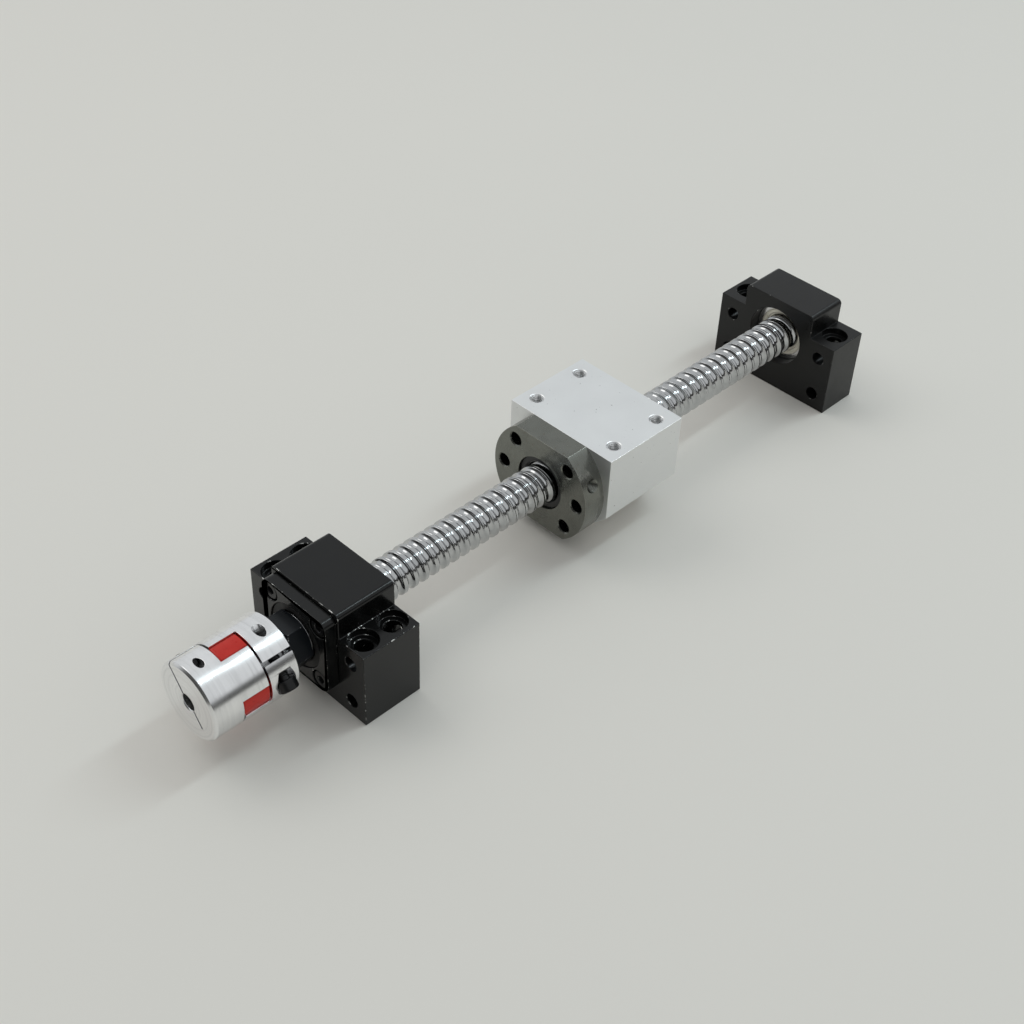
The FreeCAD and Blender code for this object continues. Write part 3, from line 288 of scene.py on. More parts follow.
class Look:
    """A small helper around one material's nodes."""

    def __init__(self, name, color=(0.5, 0.5, 0.5), metallic=0.0, roughness=0.4, ior=1.5, **more):
        self.m = bpy.data.materials.new(name)
        self.m.use_nodes = True
        self.t = self.m.node_tree
        self.b = next(n for n in self.t.nodes if n.type == "BSDF_PRINCIPLED")
        self.set("Base Color", (*color, 1.0))
        self.set("Metallic", metallic)
        self.set("Roughness", roughness)
        self.set("IOR", ior)
        for k, v in more.items():
            self.set(k.replace("_", " "), v)
        self.coord = self.node("ShaderNodeTexCoord").outputs["Object"]
        self.normal = None

    def set(self, socket, value):
        self.b.inputs[socket].default_value = value

    def node(self, kind, **props):
        n = self.t.nodes.new(kind)
        for k, v in props.items():
            setattr(n, k, v)
        return n

    def link(self, a, b):
        self.t.links.new(a, b)

    def stretched(self, x, y, z, turn=(0, 0, 0)):
        """Object coordinates scaled along each axis."""
        n = self.node("ShaderNodeMapping")
        n.inputs["Scale"].default_value = (x, y, z)
        n.inputs["Rotation"].default_value = turn
        self.link(self.coord, n.inputs["Vector"])
        return n.outputs["Vector"]

    def turned(self, along, around):
        """(x, distance from the screw axis, 0): constant round the axis, as a lathe leaves it."""
        sep = self.node("ShaderNodeSeparateXYZ")
        self.link(self.coord, sep.inputs[0])
        z = self.math("SUBTRACT", sep.outputs[2], 0.025)
        r = self.math("SQRT", self.math("ADD", self.math("MULTIPLY", sep.outputs[1], sep.outputs[1]), self.math("MULTIPLY", z, z)))
        out = self.node("ShaderNodeCombineXYZ")
        self.link(self.math("MULTIPLY", sep.outputs[0], along), out.inputs[0])
        self.link(self.math("MULTIPLY", r, around), out.inputs[1])
        return out.outputs[0]

    def math(self, op, a, b=None, c=None, clamp=False):
        n = self.node("ShaderNodeMath", operation=op, use_clamp=clamp)
        for i, v in enumerate((a, b, c)):
            if v is None:
                continue
            if isinstance(v, (int, float)):
                n.inputs[i].default_value = v
            else:
                self.link(v, n.inputs[i])
        return n.outputs[0]

    def noise(self, vector=None, scale=1.0, detail=3.0, rough=0.5, distortion=0.0):
        n = self.node("ShaderNodeTexNoise")
        n.inputs["Scale"].default_value = scale
        n.inputs["Detail"].default_value = detail
        n.inputs["Roughness"].default_value = rough
        n.inputs["Distortion"].default_value = distortion
        self.link(vector if vector is not None else self.coord, n.inputs["Vector"])
        return n.outputs["Fac"]

    def voronoi(self, vector=None, scale=1.0, feature="F1"):
        n = self.node("ShaderNodeTexVoronoi", feature=feature)
        n.inputs["Scale"].default_value = scale
        self.link(vector if vector is not None else self.coord, n.inputs["Vector"])
        return n.outputs["Distance"]

    def ramp(self, fac, lo, hi, a=0.0, b=1.0):
        n = self.node("ShaderNodeMapRange", interpolation_type="SMOOTHSTEP")
        for i, v in enumerate((lo, hi, a, b)):
            n.inputs[i + 1].default_value = v
        self.link(fac, n.inputs[0])
        return n.outputs[0]

    def linear(self, fac, lo, hi, a=0.0, b=1.0):
        n = self.node("ShaderNodeMapRange")
        for i, v in enumerate((lo, hi, a, b)):
            n.inputs[i + 1].default_value = v
        self.link(fac, n.inputs[0])
        return n.outputs[0]

    def mix(self, fac, a, b):
        n = self.node("ShaderNodeMix", data_type="RGBA")
        self.link(fac, n.inputs[0])
        for sock, v in ((n.inputs[6], a), (n.inputs[7], b)):
            if isinstance(v, tuple):
                sock.default_value = (*v, 1.0)
            else:
                self.link(v, sock)
        return n.outputs[2]

    def color(self, socket):
        self.link(socket, self.b.inputs["Base Color"])
        return self

    def rough(self, socket):
        self.link(socket, self.b.inputs["Roughness"])
        return self

    def metal(self, socket):
        self.link(socket, self.b.inputs["Metallic"])
        return self

    def bump(self, height, distance=0.00002, strength=1.0):
        n = self.node("ShaderNodeBump")
        n.inputs["Strength"].default_value = strength
        n.inputs["Distance"].default_value = distance
        self.link(height, n.inputs["Height"])
        if self.normal is not None:
            self.link(self.normal, n.inputs["Normal"])
        self.normal = n.outputs["Normal"]
        self.link(self.normal, self.b.inputs["Normal"])
        return self


def black_look(name, rough_lo, rough_hi, tint, edge=False, wear=0.56, grain=1.0, ior=1.4):
    """Blackened steel: dark oxide with ground lines, fine pits and, on edges, small bare places."""
    k = Look(name, tint, 0.0, rough_lo, ior)
    cloud = k.noise(scale=90, detail=4)
    lines = k.noise(k.stretched(260, 2600, 2600), detail=2)
    fine = k.noise(scale=5200, detail=2)
    dust = k.ramp(k.noise(scale=1500, detail=1), 0.76, 0.83)
    base = k.mix(cloud, tuple(c * 0.75 for c in tint), tuple(c * 1.35 for c in tint))
    base = k.mix(k.math("MULTIPLY", dust, 0.25), base, (0.06, 0.06, 0.058))
    r = k.linear(k.math("ADD", k.math("MULTIPLY", cloud, 0.6), k.math("MULTIPLY", lines, 0.4)), 0.3, 0.7, rough_lo, rough_hi)
    if edge:
        spots = k.ramp(k.noise(scale=420, detail=5, rough=0.65), wear, wear + 0.07)
        streak = k.ramp(k.noise(k.stretched(900, 240, 900), detail=3), wear + 0.02, wear + 0.09)
        bare = k.math("MAXIMUM", spots, streak)
        base = k.mix(bare, base, (0.60, 0.60, 0.58))
        k.metal(bare)
        r = k.math("ADD", r, k.math("MULTIPLY", bare, 0.08))
    k.color(base).rough(r)
    k.bump(lines, 0.0000035 * grain).bump(fine, 0.0000025 * grain)
    k.bump(cloud, 0.000012 * grain)
    return k.m


def steel_look(name, color, rough_lo, rough_hi, stretch=(3000, 300, 300), depth=0.000002, dirt=(0.2, 0.19, 0.17), stain=0.25, turned=False, aniso=0.0, rings=False):
    k = Look(name, color, 1.0, rough_lo)
    lines = k.noise(k.turned(*stretch[:2]) if turned else k.stretched(*stretch), detail=3, rough=0.6)
    cloud = k.noise(k.turned(900, 900), detail=5, rough=0.6) if rings else k.noise(scale=160, detail=5, rough=0.6)
    fine = k.noise(scale=4200, detail=2)
    base = k.mix(k.ramp(cloud, 0.35, 0.75), color, tuple(c * 0.86 for c in color))
    base = k.mix(k.math("MULTIPLY", k.ramp(k.noise(scale=620, detail=4, rough=0.7), 0.60, 0.74), stain), base, dirt)
    k.color(base)
    k.rough(k.linear(k.math("ADD", k.math("MULTIPLY", cloud, 0.5), k.math("MULTIPLY", lines, 0.5)), 0.3, 0.7, rough_lo, rough_hi))
    k.bump(lines, depth).bump(fine, depth * 0.6)
    if aniso:
        k.set("Anisotropic", aniso)
    return k.m


M = {}
M["housing_gloss"] = black_look("housing_gloss", 0.13, 0.26, (0.0034, 0.0037, 0.0037))
# housing_gloss_edge: its tint is lighter than housing_gloss, a painted highlight along the bevelled edges; its bare
# spots are real wear
M["housing_gloss_edge"] = black_look("housing_gloss_edge", 0.16, 0.30, (0.0060, 0.0062, 0.0062), True, 0.60)
M["housing_satin"] = black_look("housing_satin", 0.26, 0.40, (0.0042, 0.0042, 0.0041), grain=1.4)
# housing_satin_edge: its tint is lighter than housing_satin, a painted highlight along the bevelled edges; its bare
# spots are real wear
M["housing_satin_edge"] = black_look("housing_satin_edge", 0.32, 0.44, (0.0075, 0.0075, 0.0073), True, 0.64, 1.4)
M["screws_black"] = black_look("screws_black", 0.26, 0.40, (0.0060, 0.0060, 0.0062), grain=1.5)
# screws_black_edge: its tint is lighter than screws_black, a painted highlight along the bevelled edges; its bare spots
# are real wear
M["screws_black_edge"] = black_look("screws_black_edge", 0.30, 0.42, (0.02, 0.02, 0.021), True, 0.60)
M["nut_black"] = black_look("nut_black", 0.24, 0.38, (0.0045, 0.0062, 0.0085), grain=1.2)
# nut_black_edge: its bluish tint is lighter than nut_black, a painted bluish highlight along the bevelled edges; its
# bare spots are real wear
M["nut_black_edge"] = black_look("nut_black_edge", 0.26, 0.40, (0.010, 0.012, 0.016), True, 0.60)
M["bearing"] = steel_look("bearing", (0.62, 0.62, 0.62), 0.10, 0.22, (5200, 5200, 0), 0.0000012, turned=True)
M["ball"] = steel_look("ball", (0.70, 0.70, 0.71), 0.05, 0.10, depth=0.0000004, stain=0.05)
M["cage"] = steel_look("cage", (0.50, 0.48, 0.45), 0.26, 0.40, (3000, 3000, 0), 0.000003, turned=True)
M["spring"] = steel_look("spring", (0.30, 0.30, 0.31), 0.22, 0.36)
M["collar"] = steel_look("collar", (0.46, 0.46, 0.47), 0.16, 0.30, (6000, 4000, 0), 0.000002, turned=True)
M["screw"] = steel_look("screw", (0.56, 0.565, 0.57), 0.08, 0.18, (2400, 1200, 0), 0.0000012, (0.16, 0.15, 0.13), 0.30, True)
M["journal"] = steel_look("journal", (0.60, 0.61, 0.62), 0.14, 0.24, (7000, 5000, 0), 0.0000016, turned=True)
M["nut"] = steel_look("nut", (0.20, 0.205, 0.185), 0.20, 0.32, (1500, 5200, 0), 0.000004, (0.13, 0.085, 0.045), 0.6, True)
# nut_edge is lighter than nut: a painted highlight along the flange's bevelled edges; its brown stains are real
M["nut_edge"] = steel_look("nut_edge", (0.34, 0.34, 0.31), 0.20, 0.32, (1500, 5200, 0), 0.000003, (0.20, 0.14, 0.08), 0.3, True)
M["shield"] = steel_look("shield", (0.74, 0.71, 0.63), 0.32, 0.46, (2000, 4800, 0), 0.000002, (0.45, 0.33, 0.16), 0.5, True)
M["coupling"] = steel_look("coupling", (0.90, 0.90, 0.905), 0.17, 0.28, (6200, 6200, 0), 0.000004, (0.55, 0.55, 0.55), 0.12, True, 0.45, True)
M["coupling_edge"] = steel_look("coupling_edge", (0.86, 0.86, 0.87), 0.12, 0.22, (6200, 6200, 0), 0.000002, (0.5, 0.5, 0.5), 0.1, True)


def block_look(name, color, rough_lo, rough_hi):
    k = Look(name, color, 1.0, rough_lo)
    grain = k.noise(scale=5200, detail=3, rough=0.7)
    mill = k.noise(k.stretched(3200, 420, 420), detail=3, rough=0.6)
    cloud = k.noise(scale=70, detail=4)
    specks = k.ramp(k.noise(scale=900, detail=2, rough=0.5), 0.735, 0.77)
    base = k.mix(cloud, tuple(c * 0.95 for c in color), tuple(min(1.0, c * 1.03) for c in color))
    base = k.mix(k.math("MULTIPLY", specks, 0.6), base, (0.10, 0.09, 0.08))
    k.color(base)
    k.rough(k.linear(k.math("ADD", k.math("MULTIPLY", grain, 0.5), k.math("MULTIPLY", cloud, 0.5)), 0.3, 0.7, rough_lo, rough_hi))
    k.bump(grain, 0.0000075).bump(mill, 0.000003)
    return k.m


M["block"] = block_look("block", (0.84, 0.85, 0.85), 0.42, 0.54)
# block_edge is lighter than block: a painted highlight along the bevelled edges
M["block_edge"] = block_look("block_edge", (0.90, 0.90, 0.90), 0.26, 0.36)


def rubber_look():
    k = Look("rubber", (0.012, 0.012, 0.012), 0.0, 0.6)
    grain = k.noise(scale=3000, detail=3)
    cloud = k.noise(scale=260, detail=3)
    k.color(k.mix(cloud, (0.009, 0.009, 0.009), (0.022, 0.021, 0.020)))
    k.rough(k.linear(cloud, 0.3, 0.7, 0.45, 0.66))
    k.bump(grain, 0.000006)
    return k.m


def wiper_look():
    k = Look("wiper", (0.010, 0.010, 0.011), 0.0, 0.35, 1.48)
    cloud = k.noise(scale=300, detail=4)
    lines = k.noise(k.turned(1500, 5200), detail=2)
    k.color(k.mix(cloud, (0.007, 0.007, 0.008), (0.017, 0.017, 0.018)))
    k.rough(k.linear(cloud, 0.3, 0.7, 0.26, 0.42))
    k.bump(lines, 0.000004)
    return k.m


def cap_look():
    k = Look("return_cap", (0.05, 0.09, 0.06), 0.0, 0.45, 1.48)
    cloud = k.noise(scale=400, detail=3)
    k.color(k.mix(cloud, (0.035, 0.07, 0.045), (0.06, 0.11, 0.075)))
    k.rough(k.linear(cloud, 0.3, 0.7, 0.36, 0.52))
    k.bump(k.noise(scale=3400, detail=2), 0.000004)
    return k.m


def brass_look():
    k = Look("brass", (0.70, 0.50, 0.22), 1.0, 0.3)
    cloud = k.noise(scale=500, detail=4)
    k.color(k.mix(cloud, (0.72, 0.52, 0.24), (0.55, 0.37, 0.15)))
    k.rough(k.linear(cloud, 0.3, 0.7, 0.24, 0.40))
    k.bump(k.noise(scale=3000, detail=2), 0.000003)
    return k.m


def spider_look():
    k = Look("spider", (0.42, 0.018, 0.016), 0.0, 0.34, 1.38)
    k.set("Subsurface Weight", 0.12)
    k.set("Subsurface Radius", (0.004, 0.0008, 0.0006))
    k.set("Subsurface Scale", 0.5)
    cloud = k.noise(scale=220, detail=4)
    grime = k.ramp(k.noise(scale=700, detail=4, rough=0.65), 0.58, 0.76)
    base = k.mix(cloud, (0.50, 0.017, 0.011), (0.66, 0.030, 0.018))
    k.color(k.mix(k.math("MULTIPLY", grime, 0.45), base, (0.24, 0.010, 0.008)))
    k.rough(k.linear(cloud, 0.3, 0.7, 0.26, 0.44))
    k.bump(k.noise(scale=2600, detail=3), 0.000006)
    return k.m


M["rubber"], M["wiper"], M["cap"], M["brass"], M["spider"] = rubber_look(), wiper_look(), cap_look(), brass_look(), spider_look()

# ---- support blocks ------------------------------------------------------------------------------------------------------


def support(x0, x1, columns, cuts):
    half, wide, rr = 30.0, 17.5, 2.0
    pts = [(-half, 0), (half, 0), (half, 32.5), (wide, 32.5)]
    pts += arc(wide - rr, 43 - rr, rr, 0, 90, 7)
    pts += arc(-wide + rr, 43 - rr, rr, 90, 180, 7)
    pts += [(-wide, 32.5), (-half, 32.5)]
    base = extrude("support", pts, x0, x1)
    for x in columns:
        for s in (-1, 1):
            cuts.append(bar((x, 23 * s, 0), (0, 0, 1), 3.3, -1, 45, 56))
            cuts.append(bar((x, 23 * s, 0), (0, 0, 1), 5.4, 29.5, 45, 72))
    for z in (7, 25):
        for s in (-1, 1):
            cuts.append(rod(2.75, x0 - 1, x1 + 1, 23 * s, z, 48))
    return carve(base, cuts)


fixed_cuts = [rod(14, -14, 6, seg=128), rod(12, -1, 14, seg=112)]
for a in (-1, 1):
    for b in (-1, 1):
        fixed_cuts.append(thread_groove((0, 12.4 * a, AX + 12.4 * b), (1, 0, 0), 1.8, 0.28, -13.2, -4, 0.7, 36))
seat_piece(
    support(-12.5, 12.5, (-6.5, 6.5), fixed_cuts),
    "fixed_housing_body",
    "supports",
    "fixed_housing",
    [M["housing_gloss"], M["housing_gloss_edge"]],
    0.28,
    3,
)
floating_cuts = [rod(13, 245, 259.5, seg=128), rod(11, 250, 268, seg=112)]
seat_piece(
    support(246.5, 266.5, (256.5,), floating_cuts),
    "floating_housing_body",
    "supports",
    "floating_housing",
    [M["housing_satin"], M["housing_satin_edge"]],
    0.28,
    3,
)

# ---- cover plate and its screws ------------------------------------------------------------------------------------------

corner = 3.0
side = 16.5
outline = []
for cy, cz, a0 in ((side - corner, side - corner, 0), (-side + corner, side - corner, 90), (-side + corner, -side + corner, 180), (side - corner, -side + corner, 270)):
    outline += arc(cy, AX + cz, corner, a0, a0 + 90, 8)
plate = extrude("plate", outline, -17.5, -12.5)
plate = carve(plate, [rod(13.95, -13.5, -10.0, seg=128)], "UNION")
cover_cuts = [rod(12.8, -19, -8, seg=128)]
for a in (-1, 1):
    for b in (-1, 1):
        cover_cuts.append(rod(2.2, -19, -11, 12.4 * a, AX + 12.4 * b, 40))
        cover_cuts.append(rod(4.0, -19, -13.2, 12.4 * a, AX + 12.4 * b, 64))
seat_piece(
    carve(plate, cover_cuts),
    "fixed_cover_plate",
    "supports",
    "fixed_cover",
    [M["housing_gloss"], M["housing_gloss_edge"]],
    0.35,
    3,
)


def cap_screw(at, axis, head_r, head_h, shank_r, length, flats, pitch=0.7, seg=72):
    """A socket head cap screw. at is the seat of the head, axis points from the head to the tip."""
    d = Vector(axis).normalized()
    pts = [(-head_h, 0), (-head_h, head_r - 0.42), (-head_h + 0.08, head_r - 0.24), (-head_h + 0.3, head_r - 0.06), (-head_h + 0.5, head_r), (-0.25, head_r), (0, head_r - 0.22), (0, shank_r + 0.15), (0.3, shank_r)]
    s = 1.0
    while s + pitch < length - 0.6:
        pts += [(s + pitch * 0.1, shank_r), (s + pitch * 0.5, shank_r - 0.34 * pitch), (s + pitch * 0.9, shank_r)]
        s += pitch
    pts += [(length - 0.5, shank_r), (length, shank_r - 0.5), (length, 0)]
    o = spin("screw", pts, seg, at, axis)
    u, v, w = axes_of(axis)
    hexa = [(flats / math.sqrt(3) * math.cos(math.radians(60 * k + 12)), flats / math.sqrt(3) * math.sin(math.radians(60 * k + 12))) for k in range(6)]
    socket = extrude("tool", hexa, -head_h - 1, -head_h + 2.0, at, (u, v, d))
    dish = bar(at, axis, flats / math.sqrt(3) + 0.45, -head_h - 0.4, -head_h + 0.35, 48, flats / math.sqrt(3) - 0.3)
    return carve(o, [socket, dish])


def join(objects):
    bm = bmesh.new()
    for o in objects:
        bm.from_mesh(o.data)
    out = new_object("joined", [], [])
    bm.to_mesh(out.data)
    bm.free()
    drop(objects)
    out.data.update()
    return out


seat_piece(
    join([cap_screw((-13.2, 12.4 * a, AX + 12.4 * b), (1, 0, 0), 3.5, 4.0, 1.95, 8, 3.0) for a in (-1, 1) for b in (-1, 1)]),
    "cover_screws",
    "supports",
    "fixed_cover_screws",
    [M["screws_black"], M["screws_black_edge"]],
    0.10,
    2,
    40,
)

# ---- lock nut --------------------------------------------------------------------------------------------------------------

hexa = [(11 * math.cos(math.radians(2 + 60 * k)), AX + 11 * math.sin(math.radians(2 + 60 * k))) for k in range(6)]
lock = extrude("lock", hexa, -25.5, -17.5)
lock = carve(lock, [spin("tool", [(-25.5, 0), (-25.5, 9.4), (-24.6, 11.1), (-18.4, 11.1), (-17.5, 9.4), (-17.5, 0)], 120)], "INTERSECT")
lock = carve(lock, [rod(6.05, -27, -16, seg=96)] + [bar((-21.5, 0, AX), direction(a), 2.05, 5, 13, 40) for a in (32, 272)])
seat_piece(lock, "lock_nut_body", "screw", "lock_nut", [M["nut_black"], M["nut_black_edge"]], 0.16, 2, 24)

# ---- screw shaft -----------------------------------------------------------------------------------------------------------

LEAD, PHASE = 5.0, 11.5


def track_section(outwards):
    """One pitch of the thread's section as (x, radius) points: the round-bottomed ball track and the land."""
    centre, ball = 8.3, 1.65
    if outwards:
        crest = 8.4
        reach = math.acos((crest - centre) / ball)
        pts = [(ball * math.sin(a), centre + ball * math.cos(a)) for a in [reach * (2 * j / 14 - 1) for j in range(15)]]
        half = pts[-1][0]
        land = LEAD - 2 * half
        pts += [(half + land * t, crest) for t in (0.33, 0.67)]
        return pts
    crest, ease = 8.0, 0.24
    low = crest - ease * 0.95
    reach = math.acos((centre - low) / ball)
    pts = [(ball * math.sin(a), centre - ball * math.cos(a)) for a in [reach * (2 * j / 14 - 1) for j in range(15)]]
    xa, xb = pts[-1][0], LEAD / 2
    # rounded shoulder, then a shallow seam along the middle of the land
    for t in (0.08, 0.25, 0.5, 0.8):
        pts.append((xa + 0.03 + ease * (1 - math.cos(t * math.pi / 2)) * 1.1, low + (crest - low) * math.sin(t * math.pi / 2)))
    x_top = xa + 0.03 + ease * 1.1
    pts.append((x_top, crest))
    for t in (0.35, 0.6, 0.82, 1.0):
        pts.append((x_top + (xb - x_top) * t, crest - 0.13 * (0.5 - 0.5 * math.cos(math.pi * t)) ** 1.3))
    right_side = pts[15:]
    mirrored = [(LEAD - x, r) for x, r in right_side[:-1]][::-1]
    return pts + mirrored


def thread_tube(outwards, x0, x1, limit, steps=72):
    """The closed solid of the thread between two planes. limit(x) is the largest radius there."""
    sec = track_section(outwards)
    m = len(sec)
    k0, k1 = math.floor((x0 - PHASE) / LEAD) - 2, math.ceil((x1 - PHASE) / LEAD) + 2
    rows = (k1 - k0) * steps
    verts = []
    for i in range(rows + 1):
        t = k0 + i / steps
        c, s = math.cos(2 * math.pi * t), math.sin(2 * math.pi * t)
        for x, r in sec:
            X = PHASE + LEAD * t + x
            rr = min(r, limit(X)) if limit else r
            verts.append((X, rr * c, AX + rr * s))
    faces = []
    for i in range(rows):
        for j in range(m):
            a = i * m + j
            if j + 1 < m:
                b = a + 1
                faces.append((a, b, b + m, a + m))
            else:
                # the section's end meets the next turn's start
                b = (i + steps) * m
                if b + m < len(verts):
                    faces.append((a, b, b + m, a + m))
    me = bpy.data.meshes.new("thread")
    me.from_pydata(verts, [], faces)
    me.update()
    bm = bmesh.new()
    bm.from_mesh(me)
    for x, sign in ((x0, -1), (x1, 1)):
        geom = bm.verts[:] + bm.edges[:] + bm.faces[:]
        bmesh.ops.bisect_plane(bm, geom=geom, dist=1e-5, plane_co=(x, 0, 0), plane_no=(sign, 0, 0), clear_outer=True)
        rim = [e for e in bm.edges if e.is_boundary and all(abs(v.co.x - x) < 1e-3 for v in e.verts)]
        bmesh.ops.holes_fill(bm, edges=rim, sides=0)
    bmesh.ops.remove_doubles(bm, verts=bm.verts, dist=0.0008)
    bmesh.ops.recalc_face_normals(bm, faces=bm.faces)
    if bm.calc_volume() < 0:
        bmesh.ops.reverse_faces(bm, faces=bm.faces)
    bm.to_mesh(me)
    open_edges = sum(1 for e in bm.edges if not e.is_manifold)
    bm.free()
    o = bpy.data.objects.new("thread", me)
    scene.collection.objects.link(o)
    print("thread", "nut" if outwards else "screw", len(me.vertices), "open", open_edges, "volume", round(volume(o), 1))
    return o


def screw_limit(x):
    return min(8.2, 7 + max(0.0, x - 11.5), 7 + max(0.0, 251.5 - x))


thread = thread_tube(False, 11.5, 251.5, screw_limit)
driven = spin(
    "driven",
    [(-42.5, 0), (-42.5, 4.5), (-42.0, 5), (-27.0, 5), (-26.9, 5.1), (-26.9, 5.4), (-26.3, 6)]
    + [p for k in range(11) for p in ((-26.1 + k, 6.0), (-25.65 + k, 5.62), (-25.25 + k, 6.0))][:33]
    + [(-14.2, 6), (-14.1, 5.9), (-14.0, 5.4), (-12.7, 5.4), (-12.5, 6), (12.0, 6), (12.0, 0)],
    128,
)
free = spin(
    "free",
    [(251.0, 0), (251.0, 5), (259.42, 5), (259.5, 4.92), (259.5, 4.8), (260.65, 4.8), (260.65, 4.92), (260.73, 5), (261.1, 5), (261.5, 4.6), (261.5, 0)],
    128,
)
before = volume(thread)
shaft = carve(thread, [driven, free], "UNION", "MANIFOLD", weld=0.0006)
print("shaft", len(shaft.data.vertices), "volume", round(before, 1), round(volume(shaft), 1))
seat_piece(shaft, "screw_shaft_body", "screw", "screw_shaft", [M["screw"]], 0, wn=False, smooth=60, weld=0.0006)

# ---- ball nut --------------------------------------------------------------------------------------------------------------

nut = spin(
    "nut",
    [(101.5, 3), (101.5, 24), (111.5, 24), (111.5, 13.75), (112.3, 13.75), (112.5, 14), (150.8, 14), (151.5, 13.3), (151.5, 3)],
    160,
)
tools = [brick(95, 115, -30, 30, -10, 5), brick(95, 115, -30, 30, 45, 60)]
nut = carve(nut, tools)
nut.data.materials.append(M["nut"])
nut.data.materials.append(M["nut_edge"])
# the bevel faces take nut_edge, whose lighter colour is a painted highlight along the edges
m = nut.modifiers.new("bevel", "BEVEL")
m.width, m.segments, m.limit_method, m.angle_limit, m.material = 0.28, 2, "ANGLE", math.radians(32), 1
bake(nut)
fix_normals(nut, 0.0005)
tools = [rod(11.2, 100, 104.7, seg=112), rod(11.2, 148.3, 153, seg=112)]
for a in (0, 45, 135, 180, 225, 315):
    d = direction(a) * 19
    tools.append(bar((0, d.y, AX + d.z), (1, 0, 0), 2.75, 100, 113, 56))
    tools.append(bar((0, d.y, AX + d.z), (1, 0, 0), 3.35, 101.3, 101.95, 56, 2.7))
nut = carve(nut, tools)
port = direction(157.5)
nut = carve(
    nut,
    [
        thread_groove((106.5, 0, AX), port, 2.5, 0.3, 16, 25.2, 0.8, 48),
        bar((106.5, 0, AX), port, 1.2, 8.6, 16.5, 24),
        bar((106.5, 0, AX), port, 2.5, 23.6, 24.4, 48, 3.1),
    ],
)
core = thread_tube(True, 103.2, 149.8, None, 60)
nut = carve(nut, [core], "DIFFERENCE", "EXACT", weld=0.001)
print("nut volume", round(volume(nut), 1))
seat_piece(nut, "ball_nut_body", "nut", "ball_nut", [M["nut"], M["nut_edge"]], 0, smooth=30, wn=True, weld=0.001)

for name, node, x0, x1 in (("front_wiper", "nut_front_wiper", 102.5, 104.65), ("rear_wiper", "nut_rear_wiper", 148.35, 150.5)):
    f = 1 if name == "front_wiper" else -1
    a, b = (x0, x1) if f > 0 else (x1, x0)
    seat_piece(
        spin("wiper", [(a, 9.0), (a, 10.95), (a + f * 0.2, 11.15), (b, 11.15), (b, 8.8), (a + f * 1.1, 8.3), (a + f * 0.75, 8.3)], 112),
        name,
        "nut",
        node,
        [M["wiper"]],
        0.06,
        2,
    )

# ---- nut housing -----------------------------------------------------------------------------------------------------------

pts = [(-13.5, 5), (13.5, 5), (26, 17.5), (26, 45), (-26, 45), (-26, 17.5)]
block = extrude("block", pts, 111.5, 151.5)
tools = [rod(14.05, 110, 153, seg=128)]
for a in (0, 45, 135, 180, 225, 315):
    d = direction(a) * 19
    tools.append(bar((0, d.y, AX + d.z), (1, 0, 0), 2.1, 110, 123.5, 40))
for x in (119.5, 143.5):
    for s in (-20, 20):
        tools.append(thread_groove((x, s, 0), (0, 0, 1), 2.1, 0.34, 35.2, 46, 0.8, 56))
        tools.append(bar((x, s, 0), (0, 0, 1), 2.0, 44.0, 45.4, 56, 3.25))
seat_piece(
    carve(block, tools),
    "nut_housing_body",
    "nut",
    "nut_housing_block",
    [M["block"], M["block_edge"]],
    0.22,
    2,
    32,
)

# ---- coupling --------------------------------------------------------------------------------------------------------------


def saw_cut(x0, x1, angle, r0, r1, width, shift=0.0):
    d = direction(angle)
    s = Vector((1, 0, 0)).cross(d)
    return extrude(
        "tool", [(r0, shift - width / 2), (r1, shift - width / 2), (r1, shift + width / 2), (r0, shift + width / 2)], x0, x1, (0, 0, AX), (d, s, Vector((1, 0, 0)))
    )


def across(x, angle, off, s0, s1, r, seg=48, ridges=False):
    """A round cutter across a hub, off the axis, square to the half plane at an angle."""
    d = direction(angle)
    s = Vector((1, 0, 0)).cross(d)
    at = Vector((x, 0, AX)) + d * off
    if ridges:
        return thread_groove(at, s, r, 0.2, s0, s1, 0.5, seg)
    return bar(at, s, r, s0, s1, seg)


motor = spin("motor", [(-62, 3.575), (-62, 14.1), (-61.1, 15), (-39.8, 15), (-39.8, 3.175), (-61.6, 3.175)], 150, start=1.13)
motor = carve(motor, [rod(7.4, -50.5, -38, seg=96)] + [sector(0, 20, 47.5 + t, 120, -50.5, -38, 24) for t in (0, 180)])
motor = carve(
    motor,
    [
        saw_cut(-64, -50, 54.4, 2.0, 18, 0.8),
        saw_cut(-64, -50, 234.4, 1.0, 9.9, 0.8, -1.2),
    ],
)
motor = carve(motor, [across(-56.25, 54.4, 11.8, -10.5, 14, 1.55, 44), across(-56.25, 54.4, 11.8, -16, -1.7, 3.05, 56)])
seat_piece(motor, "motor_hub_body", "screw", "coupling_motor_hub", [M["coupling"], M["coupling_edge"]], 0.12, 2, 34, weld=0.02)

driven_hub = spin("hub", [(-49.7, 5.01), (-49.7, 15), (-27.7, 15), (-27, 14.3), (-27, 5.41), (-27.4, 5.01)], 150, start=1.13)
driven_hub = carve(
    driven_hub, [rod(7.4, -51, -39, seg=96)] + [sector(0, 20, 137.5 + t, 120, -51, -39, 24) for t in (0, 180)]
)
driven_hub = carve(driven_hub, [saw_cut(-39.5, -26, 139.5, 4, 18, 1.5), saw_cut(-39.5, -26, 319.5, 4, 10, 1.2)])
driven_hub = carve(driven_hub, [across(-33, 139.5, 10.9, -15, 10.5, 2.0, 40), across(-33, 139.5, 10.9, 5.2, 16, 3.9, 64)])
seat_piece(driven_hub, "screw_hub_body", "screw", "coupling_screw_hub", [M["coupling"], M["coupling_edge"]], 0.12, 2, 34, weld=0.02)

